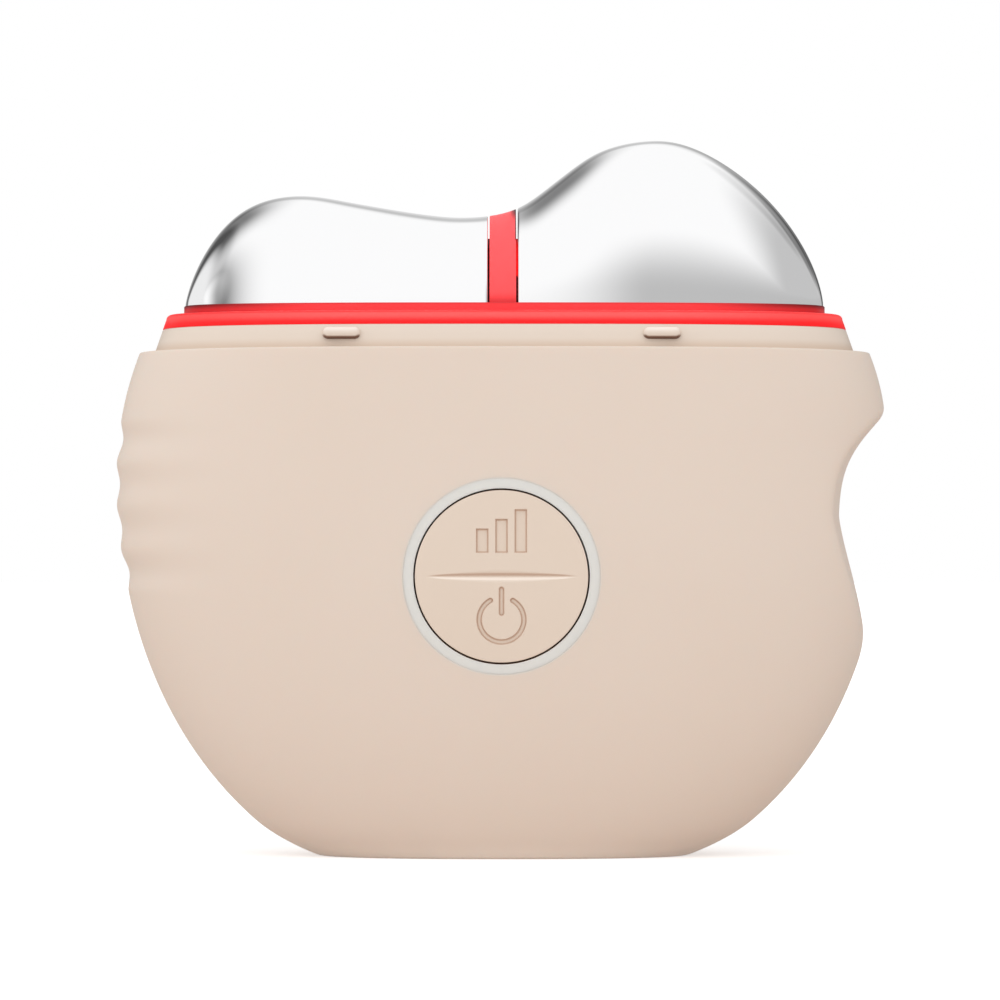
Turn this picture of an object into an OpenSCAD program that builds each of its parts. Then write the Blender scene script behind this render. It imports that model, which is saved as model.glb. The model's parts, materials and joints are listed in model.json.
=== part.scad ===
// Handheld facial toning device: a pebble-shaped body in a silicone sleeve, two polished
// electrodes on a red light base, and a rocking button inside a white light ring.
// Millimetres. X runs across the device, Y from front to back, Z up. The origin is the middle
// of the flat base.

/* [Body] */
// Width of the device across the sleeve
body_w = 82; // [78:0.5:90]
// Depth of the sleeve at its fullest
body_d = 33; // [32:0.5:38]
// Height of the sleeve's rim above the base
sleeve_h = 53.7; // [52:0.1:60]
// Height at which the body is fullest
belly_z = 41; // [39:0.5:44]
// Half-width of the flat base on the left
base_left = 20.6; // [17:0.1:24]
// Half-width of the flat base on the right
base_right = 21.1; // [17:0.1:24]
// Depth of the flat base
base_d = 15.6; // [14:0.1:18]
// Rounding of the edge of the base
base_round = 0.9; // [0.2:0.1:1.2]
// How far the left side draws in between the belly and the rim
rim_in_left = 2.5; // [1:0.1:3]
// How far the right side draws in between its shoulder and the rim
rim_in_right = 1.5; // [1:0.1:3]
// Height of the shoulder above the thumb notch
shoulder_z = 47.2; // [46:0.1:50]
// Thickness of the silicone sleeve
sleeve_wall = 1.7; // [1.4:0.1:2]
// Wall of the hard housing inside the sleeve
housing_wall = 1.6; // [1.3:0.1:1.8]
// Clearance between pieces that nest
fit = 0.1; // [0.05:0.01:0.15]

/* [Grip ridges and thumb notch] */
// Number of ridges down the left edge
ridge_count = 5; // [2:1:5]
// Distance from one ridge to the next
ridge_pitch = 4.68; // [3.5:0.02:4.8]
// Depth of the scallop between two ridges
ridge_depth = 0.42; // [0.2:0.02:0.9]
// Height of the lowest ridge
ridge_z = 27.95; // [24:0.05:30]
// How far the ridges run into the front and the back
ridge_reach = 14; // [8:0.5:20]
// Height of the deepest point of the thumb notch
notch_z = 36.4; // [34:0.1:38]
// Depth of the thumb notch
notch_depth = 4.65; // [2:0.05:5.5]
// Height of the notch above its deepest point
notch_up = 14.9; // [8:0.1:16]
// Height of the notch below its deepest point
notch_down = 26.2; // [12:0.1:28]
// How far the notch's wall falls back towards the front and the back
notch_crown = 2.6; // [1:0.1:3]

/* [Collar] */
// Height of the bare collar above the sleeve
collar_h = 2.5; // [2.3:0.1:4]
// Share of its width that the collar keeps at its top
collar_taper = 0.978; // [0.96:0.002:0.99]
// Length of a snap bump for the cap
bump_l = 4; // [2:0.1:6]
// Height of a snap bump
bump_h = 1.2; // [0.8:0.1:1.6]
// How far a snap bump stands out of the collar
bump_out = 0.45; // [0.2:0.05:0.6]
// Distance between the two bumps on one side
bump_gap = 33.4; // [20:0.1:40]

/* [Light base] */
// Height of the red flange on the collar
flange_h = 1.4; // [1:0.1:3]
// Radius of the flange's upper edge
flange_round = 0.9; // [0.3:0.1:1]
// Height of the plinth under the electrodes
plinth_h = 1; // [0.8:0.1:3]
// How far the plinth stands out round the electrodes
plinth_rim = 0.15; // [0.1:0.05:1]
// Thickness of the divider between the electrodes
divider_w = 2.8; // [2:0.1:4]
// Place of the divider's middle across the device
divider_x = 0.3; // [-2:0.1:2]
// Wall of the skirt inside the collar
skirt_wall = 1.5; // [1.2:0.1:2]
// Depth of the skirt below the flange
skirt_h = 3; // [2.8:0.1:3.4]

/* [Electrodes] */
// Width of the electrode head
head_w = 68.2; // [62:0.2:70]
// Depth of the electrode head at its foot
head_d = 19.4; // [17:0.2:22]
// Height of the left lobe above the plinth
lobe_left_h = 11.9; // [11:0.1:16]
// Height of the right lobe above the plinth
lobe_right_h = 17.8; // [15:0.1:22]
// Height of the saddle between the lobes above the plinth
saddle_h = 9.6; // [8:0.1:11]
// Wall of the electrode shells
electrode_wall = 1.4; // [1:0.1:2]
// Air gap between an electrode and the divider
electrode_gap = 0.2; // [0.1:0.05:0.4]

/* [Button] */
// Diameter of the rocking button
button_d = 17.7; // [17:0.1:18.5]
// Height of the button's middle above the base
button_z = 29.8; // [29:0.1:31]
// Gap between the button and the light ring
button_gap = 0.2; // [0.2:0.01:0.4]
// Width of the light ring's visible band
ring_band = 1.3; // [1:0.05:1.6]
// Thickness of the button's face
button_t = 1.6; // [1.3:0.1:1.7]
// Radius of the button's pivot pin
pin_r = 0.7; // [0.5:0.05:0.8]
// Distance of a switch from the pivot
switch_arm = 5; // [4.6:0.1:5.4]
// Depth of the engraved marks
mark_depth = 0.3; // [0.1:0.05:0.5]

/* [Battery and boards] */
// Width of the battery cell
battery_w = 25; // [20:0.5:27]
// Height of the battery cell
battery_h = 30; // [24:0.5:30]
// Thickness of the battery cell
battery_t = 5; // [3:0.1:5]
// Width of the main board
board_w = 42; // [41:0.5:44]
// Height of the main board
board_h = 28; // [27:0.5:29]
// Thickness of the boards
board_t = 1.2; // [0.8:0.1:1.4]

/* [Hidden] */
$fn = 48;

// Facets of the free-form shapes
around = 48;
housing_levels = 16;
low_levels = 11;
ridge_steps = 5;
rim_steps = 6;
arch_steps = 16;
head_steps = 15;
// A cut runs this far past the face that it opens
past = 1;
// Roundness of a level section, and of an upright one
plan_power = 3;
arch_power = 2.2;
// Fullness of the sides below the belly, left, right and in depth
fullness_left = 2.175;
fullness_right = 2.37;
fullness_depth = 2.1;
// How far the front draws in between the belly and the rim
rim_in_depth = 0.4;
// The notch stays near its deepest for longer above that point than below it
notch_power_up = 1.27;
notch_power_down = 0.65;
// Softness of the ridges' crests, as a share of the scallops' depth
crest_softness = 0.6;
// Rounding of the crease between the notch and the body
notch_blend = 0.8;

// ---- Outline of the body ----

// Half-size at a height: it swells from the base to the belly, then draws in towards the rim
function swell(z, base, full, power, rim_in, shoulder) =
  z < belly_z
    ? full * pow(1 - (1 - pow(base / full, power)) * pow((belly_z - z) / belly_z, power), 1 / power)
    : full - rim_in * pow(max(z - shoulder, 0) / (sleeve_h - shoulder), 2);

function left_at(z) = swell(z, base_left, body_w / 2, fullness_left, rim_in_left, belly_z);
function right_at(z) = swell(z, base_right, body_w / 2, fullness_right, rim_in_right, shoulder_z);
function depth_at(z) = swell(z, base_d / 2, body_d / 2, fullness_depth, rim_in_depth, belly_z);

// Depth of the thumb notch at a height
function notch_at(z) =
  let (rise = z - notch_z,
       share = rise > 0 ? pow(rise / notch_up, notch_power_up) : pow(-rise / notch_down, notch_power_down))
  share < 1 ? notch_depth * (1 + cos(180 * share)) / 2 : 0;

// Depth of the scallops between the ridges at a height
function scallop_at(z) =
  let (place = (z - ridge_z) / ridge_pitch,
       wave = norm([sin(180 * place), crest_softness]) - crest_softness)
  place > 0 && place < ridge_count - 1
    ? ridge_depth * wave / (norm([1, crest_softness]) - crest_softness)
    : 0;

function powered(value, power) = sign(value) * pow(abs(value), power);

// Point of a rounded section at an angle, between a left and a right end
function section_point(turn, left, right, half_d, z) = [
  (right - left) / 2 + (right + left) / 2 * powered(cos(turn), 2 / plan_power),
  half_d * powered(sin(turn), 2 / plan_power),
  z
];

function section(left, right, half_d, z, from = 0, to = 360) =
  [for (i = [0:around * (to - from) / 360 - (to - from < 360 ? 0 : 1)])
    section_point(from + i * 360 / around, left, right, half_d, z)];

// The smaller of two values, rounded off where they meet
function soft_min(a, b) = min(a, b) - pow(max(notch_blend - abs(a - b), 0), 2) / (4 * notch_blend);

// Outer surface of the body with the thumb notch cut across its right edge.
// The notch's wall is crowned at mid-depth, and leaves the body where the notch runs out.
function body_point(turn, z, grow = 0) =
  let (left = left_at(z) + grow, right = right_at(z) + grow, deep = depth_at(z) + grow,
       p = section_point(turn, left, right, deep, z),
       cut = notch_at(z),
       crown = notch_crown * (pow(1 - cut / notch_depth, 2) - pow(p[1] / deep, 2)))
  [cut > 0 && p[0] > 0 ? soft_min(p[0], right - cut + crown) : p[0], p[1], z];

// The same surface with the ridges pressed into its left edge
function ridged_point(turn, z, grow) =
  let (p = body_point(turn, z, grow), left = left_at(z),
       fade = max(1 - (p[0] + left) / ridge_reach, 0),
       side = powered(p[0] / left, plan_power - 1) / left,
       face = powered(p[1] / depth_at(z), plan_power - 1) / depth_at(z),
       press = scallop_at(z) * fade * fade / norm([side, face]))
  [p[0] - press * side, p[1] - press * face, z];

// Moves a point of the body inwards: all round, and up from the base
function inset(p, wall) = [
  p[0] * (1 - wall / (body_w / 2)),
  p[1] * (1 - wall / (body_d / 2)),
  p[2] < belly_z ? belly_z - (belly_z - p[2]) * (1 - wall / belly_z) : p[2]
];

function level(i) = sleeve_h * pow(i / housing_levels, 1.2);

// Level of the sleeve's outside: close together over the ridges
ridge_top = ridge_z + (ridge_count - 1) * ridge_pitch;
sleeve_levels = concat(
  [for (i = [0:low_levels - 1]) base_round / 2 + (ridge_z - base_round / 2) * pow(i / low_levels, 1.5)],
  [for (i = [0:(ridge_count - 1) * ridge_steps]) ridge_z + i * ridge_pitch / ridge_steps],
  [for (i = [1:rim_steps]) ridge_top + (sleeve_h - ridge_top) * i / rim_steps]
);

// Ring of points on the body at a level, moved inwards by a wall
function body_ring(z, wall, from = 0, to = 360) =
  [for (i = [0:around * (to - from) / 360 - (to - from < 360 ? 0 : 1)])
    inset(body_point(from + i * 360 / around, z), wall)];

housing_in = sleeve_wall + fit;
cavity_in = housing_in + housing_wall;

// Half-sizes of the collar's top and of the throat inside it
collar_z = sleeve_h + collar_h;
collar_left = left_at(sleeve_h) * (1 - housing_in / (body_w / 2)) * collar_taper;
collar_right = right_at(sleeve_h) * (1 - housing_in / (body_w / 2)) * collar_taper;
collar_d = depth_at(sleeve_h) * (1 - housing_in / (body_d / 2)) * collar_taper;
throat_z = sleeve_h - 2;

// Section like the collar's top, larger or smaller by a step
function collar_section(step, z, from = 0, to = 360) =
  section(collar_left + step, collar_right + step, collar_d + step, z, from, to);

// Solid through rings of points, closed by flat ends. Rings that run back down are split along
// the same diagonals as rings that run up, so nested surfaces keep their distance.
module loft(rings) {
  n = len(rings[0]);
  walls = [for (i = [0:len(rings) - 2], j = [0:n - 1])
    let (a = i * n + j, b = i * n + (j + 1) % n, up = rings[i + 1][0][2] > rings[i][0][2])
    each up ? [[a, a + n, b + n], [a, b + n, b]] : [[a, a + n, b], [b, a + n, b + n]]];
  polyhedron(
    [for (ring = rings, p = ring) p],
    concat([[for (j = [0:n - 1]) j]], walls, [[for (j = [n - 1:-1:0]) (len(rings) - 1) * n + j]])
  );
}

// Flat plate or ring with the collar's outline
module collar_plate(z, height, step) {
  translate([0, 0, z])
    linear_extrude(height)
      polygon([for (p = collar_section(step, 0)) [p[0], p[1]]]);
}

module collar_ring(z, height, outer_step, inner_step) {
  difference() {
    collar_plate(z, height, outer_step);
    collar_plate(z - past, height + 2 * past, inner_step);
  }
}

// ---- Places on the front face ----

// The face leans outwards with height, and the button lies in its plane
face_lean = atan((depth_at(button_z + 1) - depth_at(button_z - 1)) / 2);

// Frame of the button: X across, Y down the face, Z into the body
module at_button(depth = 0) {
  translate([0, -depth_at(button_z), button_z])
    rotate([face_lean - 90, 0, 0])
      translate([0, 0, depth])
        children();
}

ring_in = button_d / 2 + button_gap;
ring_out = ring_in + ring_band;
ring_lip = ring_out + 1.2;
button_in = 0.4;
button_back = button_in + button_t;
pin_depth = 2.9;
hub_r = pin_r + 0.65;
seat_depth = cavity_in + 1.4;
seat_r = ring_out + 4.6;
lip_t = 0.8;
bracket_t = 1;
bracket_depth = seat_depth + lip_t;
boot_depth = bracket_depth + bracket_t;
boot_t = 0.6;
pad_top = bracket_depth + 0.15;
pad_back = boot_depth + 1;
stem_top = pad_back + 0.05;
stem_r = 1.1;
stem_l = 1.3;
switch_top = stem_top + 0.6;
switch_h = 2;
switch_w = 4.5;
board_depth = switch_top + switch_h;
board_back = board_depth + board_t;
ear_x = 5.3;
ear_t = 1.8;
window_r = 1.1;
led_r = ring_out + 0.5;
led_count = 6;
bracket_screw_r = ring_out + 3;

// ---- Screws ----

screw_fit = 0.02;

// Pan-head screw along +Z, its head below the origin
module screw(shank_r, shank_l, head_r, head_h) {
  translate([0, 0, -head_h])
    cylinder(h = head_h, r = head_r);
  cylinder(h = shank_l, r = shank_r);
}

housing_screw_r = 1;
housing_head_r = 2;
housing_head_h = 1.3;
housing_seat_y = 5;
housing_boss_r = 2.6;
housing_screw_l = 10;
skirt_z = collar_z - skirt_h;
light_board_z = skirt_z - board_t;

// Places of the screws that join the halves, as [x, z]: two below the light board, two low down
top_boss_inset = 12;
top_boss_drop = 2.9;
low_boss_x = 21;
low_boss_z = 9.5;
housing_screw_places = [
  for (side = [-1, 1]) each [
    [side * (body_w / 2 - top_boss_inset), light_board_z - housing_boss_r - top_boss_drop],
    [side * low_boss_x, low_boss_z]
  ]
];

// Faces the rear: the screw enters from the back
module at_housing_screws(y) {
  for (place = housing_screw_places)
    translate([place[0], y, place[1]])
      rotate([90, 0, 0])
        children();
}

// A screw's pilot bore is this much deeper than the screw
bore_spare = 0.5;
board_screw_r = 0.75;
board_screw_bite = 4;
board_head_r = 1.5;
board_head_h = 1;
board_post_r = 2.1;
board_screw_x = board_w / 2 - 2.8;
board_screw_y = board_h / 2 - 3;

module at_board_screws(depth) {
  at_button(depth)
    for (x = [-1, 1], y = [-1, 1])
      translate([x * board_screw_x, y * board_screw_y, 0])
        rotate([180, 0, 0])
          children();
}

small_screw_r = 0.6;
small_head_r = 1.2;
small_head_h = 0.8;
bracket_screw_l = 2.4;

module at_bracket_screws(depth) {
  at_button(depth)
    for (turn = [45:90:315])
      rotate([0, 0, turn])
        translate([bracket_screw_r, 0, 0])
          rotate([180, 0, 0])
            children();
}

// ---- Sleeve ----

port_w = 12.4;
port_t = 6.6;

// Upright prism with round ends, about the Z axis
module slot(width, thick, height) {
  r = thick / 2;
  linear_extrude(height) {
    square([width - thick, thick], center = true);
    for (side = [-1, 1])
      translate([side * (width / 2 - r), 0])
        circle(r);
  }
}

module grip_sleeve() {
  foot = [for (i = [0:around - 1])
    let (p = body_point(i * 360 / around, 0, -base_round)) p];
  outside = [for (z = sleeve_levels)
    [for (i = [0:around - 1]) ridged_point(i * 360 / around, z, 0)]];
  inside = [for (i = [housing_levels:-1:0]) body_ring(level(i), sleeve_wall)];
  color([0.9, 0.83, 0.76])
    difference() {
      loft(concat([foot], outside, inside));
      at_button(-past)
        cylinder(h = past + cavity_in, r = ring_out + fit);
      translate([0, 0, -past])
        slot(port_w, port_t, 2 * past + sleeve_wall);
    }
}

// ---- Housing ----

usb_w = 8.94;
usb_t = 3.16;
usb_h = 7.35;
usb_wall = 0.3;
usb_z = sleeve_wall + 0.6;
charge_t = 1;
charge_y = usb_t / 2 + 0.05;
charge_w = 18;
charge_z = cavity_in + 1.2;
charge_h = 7.8;
charge_screw_x = 6.9;
charge_screw_z = charge_z + charge_h - 2.2;
tray_t = 1.2;
tape_t = 0.3;
cell_y = 1.5;
tray_y = cell_y + battery_t + tape_t;
cell_z = charge_z + charge_h + 1;
tray_wall = 1;
tray_screw_x = battery_w / 2 + fit + tray_wall + 3;
tray_screw_z = [cell_z + 5, cell_z + battery_h - 5];
tray_screw_bite = 2.6;
charge_screw_bite = 3.6;
post_r = 2.1;
lip_z = collar_z - 2.7;
lip_h = 0.8;
lip_out = 0.7;
seal_h = 0.7;
seal_w = 0.8;

// Outside of one half of the housing with its collar
module housing_form(from) {
  loft(concat(
    [for (i = [0:housing_levels]) body_ring(level(i), housing_in, from, from + 180)],
    [collar_section(0, collar_z, from, from + 180)]
  ));
}

// Space inside the housing, open at the top
module cavity_form() {
  loft(concat(
    [for (i = [0:housing_levels]) if (level(i) < throat_z - 1) body_ring(level(i), cavity_in)],
    [for (z = [throat_z, collar_z + past]) collar_section(-housing_wall, z)]
  ));
}

module snap_bumps(back) {
  y = collar_d / collar_taper - bump_h / 2 + bump_out - 0.15;
  z = collar_z - collar_h / 2 + 0.15;
  for (side = [-1, 1])
    hull()
      for (tip = [-1, 1])
        translate([side * bump_gap / 2 + tip * (bump_l - bump_h) / 2 + 0.2, back * y, z])
          sphere(d = bump_h, $fn = 16);
}

// Grooves and openings that both halves share
module housing_cuts() {
  collar_plate(lip_z - fit / 2, lip_h + fit, lip_out + fit - housing_wall);
  collar_plate(collar_z - seal_h, seal_h + past, seal_w - housing_wall);
  translate([0, 0, sleeve_wall])
    slot(usb_w + 2 * fit, usb_t + 2 * fit, housing_wall + past);
}

module front_housing() {
  color([0.87, 0.79, 0.71]) {
    difference() {
      housing_form(180);
      difference() {
        cavity_form();
        at_button()
          cylinder(h = seat_depth, r = seat_r);
        at_board_screws(board_depth)
          cylinder(h = board_depth, r = board_post_r);
        at_housing_screws(0)
          cylinder(h = body_d / 2, r = housing_boss_r);
      }
      housing_cuts();
      at_button(-past)
        cylinder(h = seat_depth + 2 * past, r = ring_out + fit);
      at_board_screws(board_depth + past)
        cylinder(h = past + board_screw_bite + bore_spare, r = board_screw_r + screw_fit);
      at_bracket_screws(seat_depth + past)
        cylinder(h = past + bracket_screw_l - lip_t - bracket_t + bore_spare,
          r = small_screw_r + screw_fit);
      at_housing_screws(past)
        cylinder(h = past + housing_screw_l - housing_seat_y + bore_spare,
          r = housing_screw_r + screw_fit);
    }
    snap_bumps(-1);
  }
}

module rear_housing() {
  color([0.87, 0.79, 0.71]) {
    difference() {
      housing_form(0);
      difference() {
        cavity_form();
        at_housing_screws(body_d / 2)
          cylinder(h = body_d / 2, r = housing_boss_r);
        for (x = [-1, 1], z = tray_screw_z)
          translate([x * tray_screw_x, tray_y + tray_t, z])
            rotate([-90, 0, 0])
              cylinder(h = body_d / 2, r = post_r);
        for (x = [-1, 1])
          translate([x * charge_screw_x, charge_y + charge_t, charge_screw_z])
            rotate([-90, 0, 0])
              cylinder(h = body_d / 2, r = post_r);
      }
      housing_cuts();
      at_housing_screws(body_d)
        cylinder(h = body_d - housing_seat_y, r = housing_head_r + fit);
      at_housing_screws(body_d)
        cylinder(h = body_d + past, r = housing_screw_r + fit);
      for (x = [-1, 1], z = tray_screw_z)
        translate([x * tray_screw_x, tray_y, z])
          rotate([-90, 0, 0])
            cylinder(h = tray_t + tray_screw_bite + bore_spare, r = small_screw_r + screw_fit);
      for (x = [-1, 1])
        translate([x * charge_screw_x, charge_y, charge_screw_z])
          rotate([-90, 0, 0])
            cylinder(h = charge_t + charge_screw_bite + bore_spare, r = small_screw_r + screw_fit);
    }
    snap_bumps(1);
  }
}

module housing_screws() {
  color("silver")
    at_housing_screws(housing_seat_y)
      screw(housing_screw_r, housing_screw_l, housing_head_r, housing_head_h);
}

// ---- Electrode head ----

head_x = (collar_right - collar_left) / 2;
head_left = head_x - head_w / 2;
head_right = head_x + head_w / 2;
plinth_z = collar_z + flange_h;
head_z = plinth_z + plinth_h;
left_peak = head_left + 12.2;
right_peak = head_right - 18.3;
left_power = 1.85;
right_power = 1.7;

// Slope of a curve at one of its points
function slope(curve, i) =
  let (a = curve[max(i - 1, 0)], b = curve[min(i + 1, len(curve) - 1)])
  i == 0 || i == len(curve) - 1 ? 0 : (b[1] - a[1]) / (b[0] - a[0]);

// Smooth curve through points, level at both ends
function smooth(curve, x, i = 0) =
  i < len(curve) - 2 && x > curve[i + 1][0] ? smooth(curve, x, i + 1)
  : let (a = curve[i], b = curve[i + 1], span = b[0] - a[0], t = (x - a[0]) / span)
    a[1] * (1 + 2 * t) * pow(1 - t, 2) + b[1] * t * t * (3 - 2 * t)
    + span * (slope(curve, i) * t * pow(1 - t, 2) - slope(curve, i + 1) * t * t * (1 - t));

// Height of the head between its two peaks, as [x, height]
saddle = [
  [left_peak, lobe_left_h],
  [left_peak + 6.4, (lobe_left_h + saddle_h) / 2 + 0.35],
  [divider_x - 9, saddle_h + 0.5],
  [divider_x - 3.9, saddle_h],
  [divider_x + 1.6, saddle_h + 1.15],
  [divider_x + 5.6, (lobe_right_h + saddle_h) / 2 - 0.3],
  [right_peak - 5.6, lobe_right_h - 1.2],
  [right_peak, lobe_right_h]
];

// Height of a rounded quarter, from 1 at its middle to 0 at its end
function quarter(share, power) = pow(max(1 - pow(share, power), 0), 1 / power);

// Height of the head's top: each lobe ends in a rounded quarter
function head_top(x, wall, grow) =
  x < left_peak
    ? (lobe_left_h + grow) * quarter((left_peak - x) / (left_peak - head_left - wall), left_power)
  : x > right_peak
    ? (lobe_right_h + grow) * quarter((x - right_peak) / (head_right - wall - right_peak), right_power)
  : smooth(saddle, x) + grow;

// Half-depth of the head's foot
function head_half_d(x, wall) =
  (head_d / 2 - wall) * quarter(abs(x - head_x) / (head_w / 2 - wall), plan_power);

// Share of the way along the head of a section: sections crowd towards a tip
function spread(i, tip) =
  tip < 0 ? 1 - cos(90 * (i + 0.5) / (head_steps + 0.5))
  : tip > 0 ? sin(90 * i / (head_steps + 0.5))
  : i / head_steps;

// Solid part of the head between two places, with its tip on the left, -1, or the right, 1.
// It is moved inwards by a wall and carried down by a drop.
module head_form(start, end, tip = 0, wall = 0, drop = 0) {
  loft([for (i = [0:head_steps])
    let (x = start + (end - start) * spread(i, tip))
    [for (j = [0:arch_steps])
      let (turn = 180 * j / arch_steps)
      [x,
       head_half_d(x, wall) * powered(cos(turn), 2 / arch_power),
       head_z - drop + head_top(x, wall, drop - wall) * pow(sin(turn), 2 / arch_power)]]]);
}

electrode_screw_r = 1;
electrode_screw_l = 6;
electrode_head_r = 1.9;
electrode_head_h = 1.2;
electrode_boss_r = 2.6;
gasket_r = 3.2;
gasket_h = 0.6;
lug_t = 0.4;
lug_r = 2.7;
lug_l = 9.4;
left_screws = [head_left + 8.6, divider_x - 8.5];
right_screws = [divider_x + 9, head_right - 9];

module electrode(start, end, tip, screws) {
  difference() {
    head_form(start, end, tip);
    difference() {
      head_form(start + electrode_wall, end - electrode_wall, tip, electrode_wall, past);
      for (x = screws)
        translate([x, 0, head_z])
          cylinder(h = lobe_right_h, r = electrode_boss_r);
    }
    for (x = screws)
      translate([x, 0, head_z - past])
        cylinder(h = past + electrode_screw_l, r = electrode_screw_r + screw_fit);
  }
}

module left_electrode() {
  color("silver")
    electrode(head_left, divider_x - divider_w / 2 - electrode_gap, -1, left_screws);
}

module right_electrode() {
  color("silver")
    electrode(divider_x + divider_w / 2 + electrode_gap, head_right, 1, right_screws);
}

module at_electrode_screws(z) {
  for (x = concat(left_screws, right_screws))
    translate([x, 0, z])
      children();
}

light_post_x = [head_x - 17, head_x + 17];
light_post_r = 2.2;
light_screw_bite = 2.8;

module light_base() {
  flange_steps = 4;
  color([0.98, 0.25, 0.24])
    difference() {
      union() {
        loft(concat(
          [collar_section(0, collar_z)],
          [for (i = [0:flange_steps])
            let (turn = 90 * i / flange_steps)
            collar_section(-flange_round * (1 - cos(turn)),
              plinth_z - flange_round * (1 - sin(turn)))]
        ));
        translate([0, 0, collar_z])
          linear_extrude(flange_h + plinth_h)
            polygon([for (p = section(plinth_rim - head_left, plinth_rim + head_right,
              head_d / 2 + plinth_rim, 0)) [p[0], p[1]]]);
        head_form(divider_x - divider_w / 2, divider_x + divider_w / 2);
        collar_ring(skirt_z, skirt_h, -housing_wall - fit,
          -housing_wall - fit - skirt_wall);
        collar_ring(lip_z, lip_h, lip_out - housing_wall, -housing_wall - fit - skirt_wall);
        for (x = light_post_x)
          translate([x, 0, light_board_z + board_t])
            cylinder(h = skirt_h, r = light_post_r);
      }
      at_electrode_screws(collar_z - past)
        cylinder(h = 3 * past + flange_h + plinth_h, r = electrode_screw_r + fit);
      at_electrode_screws(head_z - gasket_h)
        cylinder(h = gasket_h + past, r = gasket_r + fit);
      for (x = light_post_x)
        translate([x, 0, light_board_z])
          cylinder(h = board_t + light_screw_bite + bore_spare, r = small_screw_r + screw_fit);
    }
}

module head_seal() {
  color("dimgray")
    collar_ring(collar_z - seal_h, seal_h, seal_w - housing_wall - fit / 2, -housing_wall - fit / 2);
}

module electrode_gaskets() {
  color("dimgray")
    difference() {
      at_electrode_screws(head_z - gasket_h)
        cylinder(h = gasket_h, r = gasket_r);
      at_electrode_screws(head_z - gasket_h - past)
        cylinder(h = gasket_h + 2 * past, r = electrode_screw_r + fit);
    }
}

module electrode_screws() {
  color("silver") {
    for (x = [left_screws[0], right_screws[1]])
      translate([x, 0, collar_z])
        screw(electrode_screw_r, electrode_screw_l + flange_h + plinth_h - 0.5,
          electrode_head_r, electrode_head_h);
    for (x = [left_screws[1], right_screws[0]])
      translate([x, 0, collar_z - lug_t])
        screw(electrode_screw_r, electrode_screw_l + flange_h + plinth_h + lug_t - 0.5,
          electrode_head_r, electrode_head_h);
  }
}

module electrode_terminals() {
  color("goldenrod")
    for (x = [left_screws[1], right_screws[0]])
      translate([x, 0, collar_z - lug_t])
        difference() {
          union() {
            cylinder(h = lug_t, r = lug_r);
            translate([-lug_r / 2, 0, 0])
              cube([lug_r, lug_l, lug_t]);
          }
          translate([0, 0, -past])
            cylinder(h = lug_t + 2 * past, r = electrode_screw_r + fit);
        }
}

// ---- Light board under the red base ----

light_board_w = 56;
light_board_d = 15;
red_led_w = 2;
red_led_h = 0.7;
red_led_count = 8;

module light_board() {
  color("white")
    difference() {
      translate([head_x, 0, light_board_z])
        linear_extrude(board_t)
          square([light_board_w, light_board_d], center = true);
      for (x = light_post_x)
        translate([x, 0, light_board_z - past])
          cylinder(h = board_t + 2 * past, r = small_screw_r + fit);
    }
}

module red_leds() {
  step = light_board_w / red_led_count;
  color("orange")
    for (i = [0:red_led_count - 1], y = [-1, 1])
      translate([head_x + (i - (red_led_count - 1) / 2) * step, y * light_board_d / 3,
        light_board_z + board_t + red_led_h / 2])
        cube([red_led_w, red_led_w, red_led_h], center = true);
}

module light_board_screws() {
  color("silver")
    for (x = light_post_x)
      translate([x, 0, light_board_z])
        screw(small_screw_r, board_t + light_screw_bite, small_head_r, small_head_h);
}

// ---- Button group ----

module light_ring() {
  tube_l = seat_depth + lip_t - button_in;
  color("white")
    at_button(button_in)
      difference() {
        union() {
          cylinder(h = tube_l, r = ring_out);
          translate([0, 0, tube_l - lip_t])
            cylinder(h = lip_t, r = ring_lip);
        }
        translate([0, 0, -past])
          cylinder(h = tube_l + 2 * past, r = ring_in);
      }
}

// Engraved marks: three bars above the groove, a power symbol below it
bar_w = 1.25;
bar_pitch = 2;
bar_heights = [2.45, 3.45, 4.45];
bar_foot = 2.5;
groove_l = 15.7;
groove_w = 0.7;
power_y = 4.5;
power_r = 2.35;
power_stroke = 0.45;
power_gap = 54;
power_bar_l = 3;

module button_marks() {
  groove_r = (pow(groove_l / 2, 2) + pow(groove_w / 2, 2)) / groove_w;
  for (i = [0:len(bar_heights) - 1])
    translate([(i - 1) * bar_pitch - bar_w / 2, -bar_foot - bar_heights[i], -past])
      cube([bar_w, bar_heights[i], past + mark_depth]);
  translate([0, 0, -past])
    linear_extrude(past + mark_depth)
      intersection() {
        translate([0, groove_r - groove_w / 2])
          circle(groove_r, $fn = 360);
        translate([0, groove_w / 2 - groove_r])
          circle(groove_r, $fn = 360);
      }
  translate([0, power_y, -past])
    rotate([0, 0, power_gap / 2 - 90])
      rotate_extrude(angle = 360 - power_gap)
        translate([power_r - power_stroke / 2, 0])
          square([power_stroke, past + mark_depth]);
  translate([-power_stroke / 2, power_y - power_bar_l, -past])
    cube([power_stroke, power_bar_l, past + mark_depth]);
}

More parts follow.
